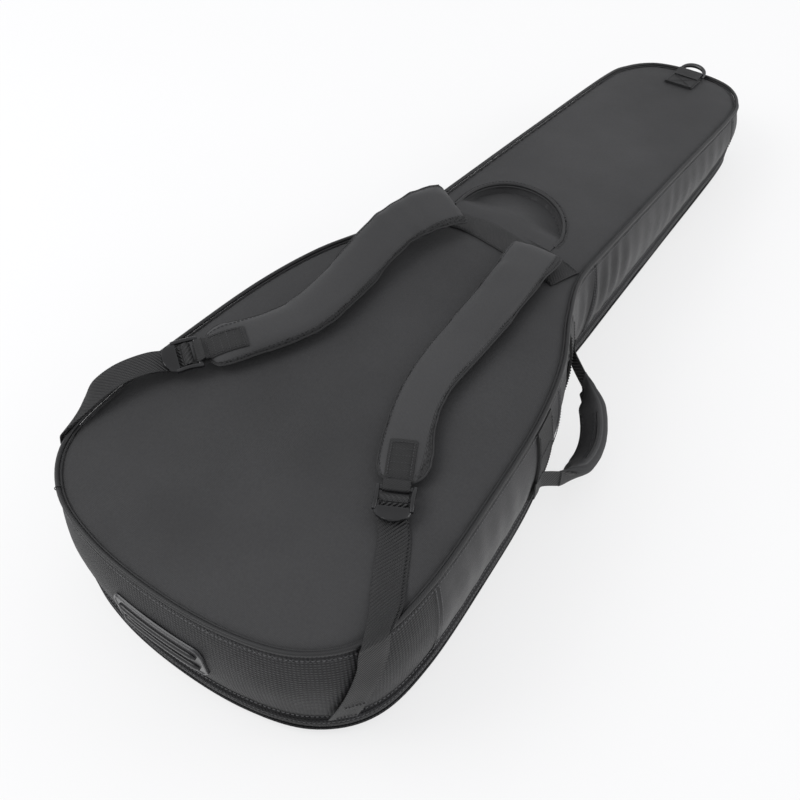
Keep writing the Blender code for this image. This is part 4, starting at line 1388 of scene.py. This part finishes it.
def make_webbing(side, at, across, half):
    """Webbing through the lock, down over the back seam and the gusset, with its loose tail beneath."""
    sign = 1 if side == "right" else -1
    crossing, ending = (parameter(distance, sign) for distance in WEBBING_ENDS[side])
    top = back_height(outline_point(crossing).y)
    clear = SEAM_EDGE + PIPING_RADIUS + 0.0022
    over = [at(0, 0.0060, -0.0030), at(0, 0.0066, 0.0010), at(0, 0.0108, 0.0032), at(0, 0.0155, 0.0012),
            at(0, 0.0190, -0.0024), at(0, 0.0260, -0.0036)]
    rows = [flat_back(x, y, h - 0.0012) for x, y, h in WEBBING_PLANS[side]]
    edge = [(0.0, seam(crossing, clear - 0.0020, top + PIPING_RADIUS + 0.0018)),
            (0.12, seam(crossing + (ending - crossing) * 0.12, clear + 0.0010, top - 0.0040))]
    down = []
    for share in (0.80, 0.55, 0.30, 0.05):
        down.append((1 - share, wall_point(crossing + (ending - crossing) * (1 - share), share, 0.0036)))

    def wall_wide(part):
        normal = outline_normal(crossing + (ending - crossing) * part)
        wide = Vector((-normal.y, normal.x, 0))
        return wide if wide.dot(across) > 0 else -wide

    for tail in (False, True):
        flat = over[4:] + rows if tail else over + rows
        wall = edge + down[:-2] if tail else edge + down
        controls, sideways = [], []
        for i, p in enumerate(flat):
            if i < len(flat) - len(rows):
                wide = across
            else:
                step = (flat + [edge[0][1]])[i + 1] - flat[i - 1]
                wide = Vector((step.y, -step.x, 0)).normalized()
                wide = wide if wide.dot(across) > 0 else -wide
                left = 1 - (i - len(flat) + len(rows) + 1) / (len(rows) + 1)
                wide = (wide + Vector((0, 0, across.z * left))).normalized()
                wide = wide.lerp(wall_wide(0.0), 0.85 * ease(1 - left * 1.6)).normalized()
            controls.append(tuple(p))
            sideways.append(tuple(wide))
        for part, p in wall:
            controls.append(tuple(p))
            sideways.append(tuple(wall_wide(part)))
        points = smooth_path(controls, 7)
        wides = [w.normalized() * half for w in smooth_path(sideways, 7)]
        normals, shifted = [], []
        out = outline_normal(crossing)
        outside = [UP] * (len(flat) - 1) + [out + UP] + [out] * (len(wall) + 1)
        for i, p in enumerate(points):
            step = step_at(points, i).normalized()
            normal = step.cross(wides[i]).normalized()
            if i // 7 > 2 or tail:
                normal = normal if normal.dot(outside[min(i // 7, len(outside) - 1)]) > 0 else -normal
            elif normals:
                normal = normal if normal.dot(normals[-1]) > 0 else -normal
            normals.append(normal)
            if tail:
                sag = 0.0017 + TAIL_SLACK[side] * math.sin(math.pi * clamp(i / (len(points) - 22)))
                p = p + (wides[i].normalized() * -TAIL_SIDE * ease(i / 22) * sign - normal * sag)
            shifted.append(p)
        name = f"strap_webbing_{side}" + ("_tail" if tail else "_main")
        piece = strap(name, shifted, wides, normals, 0.0013, WEB)
        if tail:
            settle(piece, "shell", "webbing")
            continue
        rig.slot(piece, "webbing")
        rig.replaces(piece, f"strap_webbing_{side}")
        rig.blend(piece, f"ladder_lock_{side}", "shell", start=at(0, 0.018), end=at(0, 0.052))
        last = len(points) - 1
        for n in (last - 1, last - 7):
            line = [points[n] + wides[n] * u + normals[n] * 0.0009 for u in (-0.85, -0.4, 0, 0.4, 0.85)]
            stitch("strap_stitches", line, [normals[n]] * 5, pitch=0.0032)


def make_ring():
    """D-ring in the head tab's fold."""
    half, reach, wire = 0.0185, 0.0190, 0.0021
    pivot = Vector((0, 1.107 + SHIFT, back_height(1.107 + SHIFT) + 0.0040))
    path = [Vector((half - 2 * half * k / 8, 0, 0)) for k in range(9)]
    for k in range(1, 24):
        turn = math.pi * k / 24
        path.append(Vector((-half * math.cos(turn), reach * math.sin(turn) ** 0.7, 0.004 * math.sin(turn))))
    sizes = [wire] * 9 + [wire + 0.0012 * math.sin(math.pi * k / 24) for k in range(1, 24)]
    ring = tube("d_ring_metal", [pivot + p for p in path], sizes, METAL, sides=12, closed=True)
    settle(ring, "d_ring", "black_hardware", "d_ring")


# ---------------------------------------------------------------- carry handle

HANDLE_TOP, HANDLE_FOOT = 0.482, 0.350
HANDLE_SHARES = (0.24, 0.50)  # the foot's and the top's height up the gusset
HANDLE_REACH = 0.056  # how far its grip stands out from its ends
HANDLE_DROOP = math.radians(45)  # it hangs this far below level
PATCH_CLEAR = 0.0018
PATCH_THICK = 0.0012


def make_handle():
    ends = (parameter(HANDLE_FOOT, 1), parameter(HANDLE_TOP, 1))
    foot, top = (wall_point(t, share, 0.0042) for t, share in zip(ends, HANDLE_SHARES))
    run = (top - foot).normalized()
    level = Vector((run.y, -run.x, 0)).normalized()
    raised = run.cross(level)
    raised = raised if raised.z > 0 else -raised
    outward = level * math.cos(HANDLE_DROOP) - raised * math.sin(HANDLE_DROOP)
    upright = level * math.sin(HANDLE_DROOP) + raised * math.cos(HANDLE_DROOP)

    def arch(share):
        rise = math.sin(math.pi * clamp(share)) ** 0.62
        return foot.lerp(top, share) + outward * (0.001 + HANDLE_REACH * rise)

    def frame_at(share):
        return arch(share), (arch(min(1.0, share + 0.01)) - arch(max(0.0, share - 0.01))).normalized()

    for label, t, height, first, last in (("lower", ends[0], HANDLE_SHARES[0], 0.070, 0.190),
                                          ("upper", ends[1], HANDLE_SHARES[1], 0.930, 0.810)):
        spots = [frame_at(first + (last - first) * k / 14) for k in range(15)]
        points = [centre for centre, _ in spots]
        wides = [UP.lerp(upright, ease(k / 9)).normalized() * 0.0125 for k in range(15)]
        normals = [along.cross(wide).normalized() for (_, along), wide in zip(spots, wides)]
        piece = strap(f"handle_webbing_{label}", points, wides, normals, 0.0022, WEB)
        settle(piece, "carry_handle", "webbing", f"handle_web_{label}")
        # the root of the webbing, which bends between the patch and the handle
        centre = arch(first)
        base = wall_point(t, height, PATCH_CLEAR + 0.0016)
        wall_along = (outline_point(t + 0.02) - outline_point(t - 0.02)).normalized()
        away = -wall_along if label == "lower" else wall_along
        hug = outline_normal(t) * 0.0010
        spots = [arch(first + (last - first) * 0.05), centre, base + away * 0.003 + hug * 2,
                 base + away * 0.012 + hug, base + away * 0.022 + hug * 0.5]
        points = smooth_path(spots, 5)
        normals = [step_at(points, i).cross(UP).normalized() for i in range(len(points))]
        root = strap(f"handle_root_{label}", points, [UP * 0.0123] * len(points), normals, 0.0014, WEB)
        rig.slot(root, "webbing")
        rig.blend(root, "carry_handle", "shell", start=centre, end=base + away * 0.010)
        # the patch on the gusset
        sections = []
        shares = [0.02 + 0.96 * k / 12 for k in range(13)]
        width = 0.20
        for k in range(17):
            u = -1 + k / 8
            here = t + width * u
            outer = [wall_point(here, share, PATCH_CLEAR + PATCH_THICK * (1 if 0 < n < 12 else 0.5))
                     for n, share in enumerate(shares)]
            inner = [wall_point(here, share, PATCH_CLEAR - PATCH_THICK) for share in reversed(shares)]
            sections.append(outer + inner)
        patch = loft(f"handle_patch_{label}_cloth", sections, [BAND])
        settle(patch, "shell", "webbing", f"handle_patch_{label}")
        normal = outline_normal(t)
        for u in (-0.9, 0.9):
            line = [wall_point(t + width * u, 0.05 + 0.9 * k / 20, PATCH_CLEAR + 0.0013) for k in range(21)]
            stitch("handle_stitches", line, [normal] * 21)
        for share in (0.18, 0.66):
            spots = [t + width * (-0.8 + 1.6 * k / 12) for k in range(13)]
            line = [wall_point(spot, share, PATCH_CLEAR + 0.0013) for spot in spots]
            stitch("handle_stitches", line, [normal] * 13)
    sections = []
    ring = rounded_ring(24, 0.66, 0.66)
    count = 44
    for k in range(count + 1):
        share = 0.075 + 0.85 * k / count
        centre, along = frame_at(share)
        taper = ease(min(k, count - k) / (0.20 * count))
        wave = 0.0006 * noise.noise(Vector((share * 22, 0.3, 1.7)))
        turned = UP.lerp(upright, taper).normalized()
        out = along.cross(turned).normalized()
        thick, wide = 0.0018 + 0.0066 * taper + wave, 0.0130 + 0.0036 * taper
        sections.append([centre + out * thick * u + turned * wide * v for u, v in ring])
    # The grip's inner side (ring steps 7 to 17), toward the gusset, takes the lighter nylon as painted light over the
    # shade there; the rest takes the shell nylon
    grip = loft("handle_grip_cloth", sections, [SHELL, GRIP_PAINTED_LIGHT], pick=lambda i, k: 1 if 6 < k < 18 else 0)
    settle(grip, "carry_handle", "gusset_cloth", "handle_grip")
    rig.padded(grip, fill=0.6)
    for level, label in ((1, "top"), (-1, "base")):
        line, normals = [], []
        for k in range(count + 1):
            centre, along = frame_at(0.23 + 0.54 * k / count)
            out = along.cross(upright).normalized()
            sunk = 0.0030 * (1 - ease(min(k, count - k) / 6))
            line.append(centre - out * (0.0076 - sunk) + upright * level * 0.0118)
            normals.append(-out)
        edge = tube(f"handle_edge_{label}", line, 0.0010, BINDING, sides=6, ups=normals)
        settle(edge, "carry_handle", "webbing")
        lines = [p + n * 0.0010 - upright * level * 0.0035 for p, n in zip(line, normals)]
        stitch("grip_stitches", lines, normals)


# ---------------------------------------------------------------- sliders and the inside


PULL_PROFILE = ((-1, -0.7), (-0.7, -1), (0.7, -1), (1, -0.7), (1, 0.7), (0.7, 1), (-0.7, 1), (-1, 0.7))
# The neck cradle's section in half widths and depths: flat above, with a hollow for the neck below
CRADLE_PROFILE = ((-1, 0), (-0.5, 0), (0, 0), (0.5, 0), (1, 0), (1, -0.5), (0.98, -1), (0.7, -1.04), (0.45, -1),
                  (0.36, -0.8), (0.29, -0.52), (0, -0.46), (-0.29, -0.52), (-0.36, -0.8), (-0.45, -1),
                  (-0.7, -1.04), (-0.98, -1), (-1, -0.5))


def make_sliders():
    for name in ("zip_slider_head", "zip_slider_body"):
        low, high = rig.box(name)
        settle(rounded_box(f"{name}_metal", low, high, METAL, 0.0009), name, "black_hardware", name)
        pull = name.replace("slider", "pull")
        low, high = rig.box(pull)
        middle = (low + high) / 2
        sections = []
        for k in range(15):
            share = k / 14
            z = high.z - (high.z - low.z) * share
            wide = (high.y - low.y) / 2 * (0.72 + 0.28 * math.sin(math.pi * share))
            thick = (high.x - low.x) / 2 * (0.8 if k in (0, 14) else 1.0)
            sections.append([Vector((middle.x + thick * u, middle.y + wide * v, z)) for u, v in PULL_PROFILE])
        settle(loft(f"{pull}_metal", sections, [METAL]), pull, "black_hardware", pull)
    low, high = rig.box("pocket_zip")
    settle(rounded_box("pocket_zip_coil", low, high, TAPE, 0.0005), "lid", "zip", "pocket_zip")
    low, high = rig.box("pocket_slider")
    settle(rounded_box("pocket_slider_metal", low, high, METAL, 0.0006), "pocket_slider", "black_hardware",
           "pocket_slider")


def make_inside():
    """The foam blocks and the strap that hold the guitar."""
    clear = Vector((0.0002, 0.0002, 0.0002))
    for node in ("end_pad", "head_pad"):
        low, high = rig.box(node)
        piece = rounded_box(f"{node}_plush", low + clear, high - clear, LINING, 0.004, 3)
        settle(piece, "shell", "lining", node)
        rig.padded(piece, fill=0.7)
    low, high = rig.box("neck_cradle")
    width = (high.x - low.x) / 2
    y0, y1 = low.y, high.y
    drop = (back_height(y1) - back_height(y0)) / (y1 - y0)
    top0 = back_height((y0 + y1) / 2) - PANEL_THICK - 0.0040
    sections = []
    for k in range(25):
        y = y0 + (y1 - y0) * k / 24
        soft = min(1.0, 0.35 + 6 * min(k, 24 - k) / 24)
        ring = []
        for x, z in CRADLE_PROFILE:
            depth = 0.0255 * z * (0.88 + 0.12 * soft)
            ring.append(Vector((x * width * (0.95 + 0.05 * soft), y, top0 + drop * (y - (y0 + y1) / 2) + depth)))
        sections.append(ring)
    cradle = loft("neck_cradle_plush", sections, [LINING])
    settle(cradle, "shell", "lining", "neck_cradle")
    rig.padded(cradle, fill=0.8)
    low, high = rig.box("neck_strap")
    middle = (low + high) / 2
    points = [Vector((low.x + (high.x - low.x) * k / 20, middle.y, middle.z)) for k in range(21)]
    half = (high.y - low.y) / 2
    slope = Vector((0, half, drop * half))
    normals = [Vector((0, -drop, 1)).normalized()] * 21
    piece = strap("neck_strap_webbing", points, [slope] * 21, normals, 0.0016, WEB)
    settle(piece, "shell", "webbing", "neck_strap")


def make_stitches():
    """Each group of stitches as one piece on its body: the shell, for all but two groups."""
    bodies = {"rim_stitches": "lid", "grip_stitches": "carry_handle"}
    for group, (verts, faces) in STITCHES.items():
        uvs = [(verts[v].x + verts[v].z, verts[v].y) for face in faces for v in face]
        look = THREAD if group in ("gusset_stitches", "rim_stitches") else DARK_THREAD
        settle(build(group, verts, faces, uvs, [look]), bodies.get(group, "shell"), "piping")


# ---------------------------------------------------------------- stage, lights and camera

AZIMUTH, ELEVATION, ROLL = 36.094, 48.244, -1.004
DISTANCE = 1.150
AIM = Vector((-0.0300, 0.3988 + SHIFT, 0.0))
LENS = 43.7


def make_stage():
    data = bpy.data.meshes.new("floor")
    size = 60.0
    data.from_pydata([(-size, -size, 0), (size, -size, 0), (size, size, 0), (-size, size, 0)], [], [(0, 1, 2, 3)])
    floor = link_object("floor", data)
    floor.location.z = -0.0004
    g = Graph("floor_paper")
    level = g.spread(g.noise(3.0, 3.0), 0.25, 0.26)
    tint = g.add("ShaderNodeCombineColor", {"Red": level, "Green": level, "Blue": g.math("MULTIPLY", level, 1.01)})
    g.link(tint.outputs[0], g.shader.inputs["Base Color"])
    g.shader.inputs["Roughness"].default_value = 0.9
    g.shader.inputs["Specular IOR Level"].default_value = 0.1
    g.shader.inputs["Emission Color"].default_value = (1, 1, 1, 1)
    g.shader.inputs["Emission Strength"].default_value = 0.71
    data.materials.append(g.material)
    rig.stage(floor)
    world = bpy.data.worlds.new("studio")
    world.use_nodes = True
    sky = world.node_tree.nodes["Background"]
    sky.inputs[0].default_value = (0.97, 0.975, 1.0, 1)
    sky.inputs[1].default_value = 0.78
    bpy.context.scene.world = world
    for name, place, size, power in (("key", (-1.4, -1.3, 1.9), 1.6, 26), ("fill", (2.2, 1.5, 1.1), 1.5, 16)):
        light = bpy.data.lights.new(name, "AREA")
        light.size = size
        light.energy = power
        lamp = link_object(name, light)
        lamp.location = place
        lamp.rotation_euler = (Vector((0, 0, 0.05)) - Vector(place)).to_track_quat("-Z", "Y").to_euler()
    az, el, roll = (math.radians(a) for a in (AZIMUTH, ELEVATION, ROLL))
    forward = Vector((-math.sin(az) * math.cos(el), math.cos(az) * math.cos(el), -math.sin(el)))
    right = Vector((math.cos(az), math.sin(az), 0))
    up = right.cross(forward)
    right, up = math.cos(roll) * right + math.sin(roll) * up, -math.sin(roll) * right + math.cos(roll) * up
    lens = bpy.data.cameras.new("camera")
    lens.lens = LENS
    lens.sensor_width = 36.0
    lens.clip_start = 0.01
    camera = link_object("camera", lens)
    place = AIM - forward * DISTANCE
    camera.matrix_world = Matrix.Translation(place) @ Matrix((right, up, -forward)).transposed().to_4x4()
    bpy.context.scene.camera = camera
    bpy.context.scene.view_settings.view_transform = "Standard"


make_panels()
make_piping()
make_gusset()
make_rim()
make_bumper()
make_trim()
for side, rows in (("right", RIGHT_PAD), ("left", LEFT_PAD)):
    make_strap_ends(side, rows, *make_pad(side, rows))
make_ring()
make_handle()
make_sliders()
make_inside()
make_stitches()
make_stage()

json.dump({"cad": [list(corner) for corner in cad_bounds], "visual": [list(corner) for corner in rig.bounds()]},
          open("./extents.json", "w"))
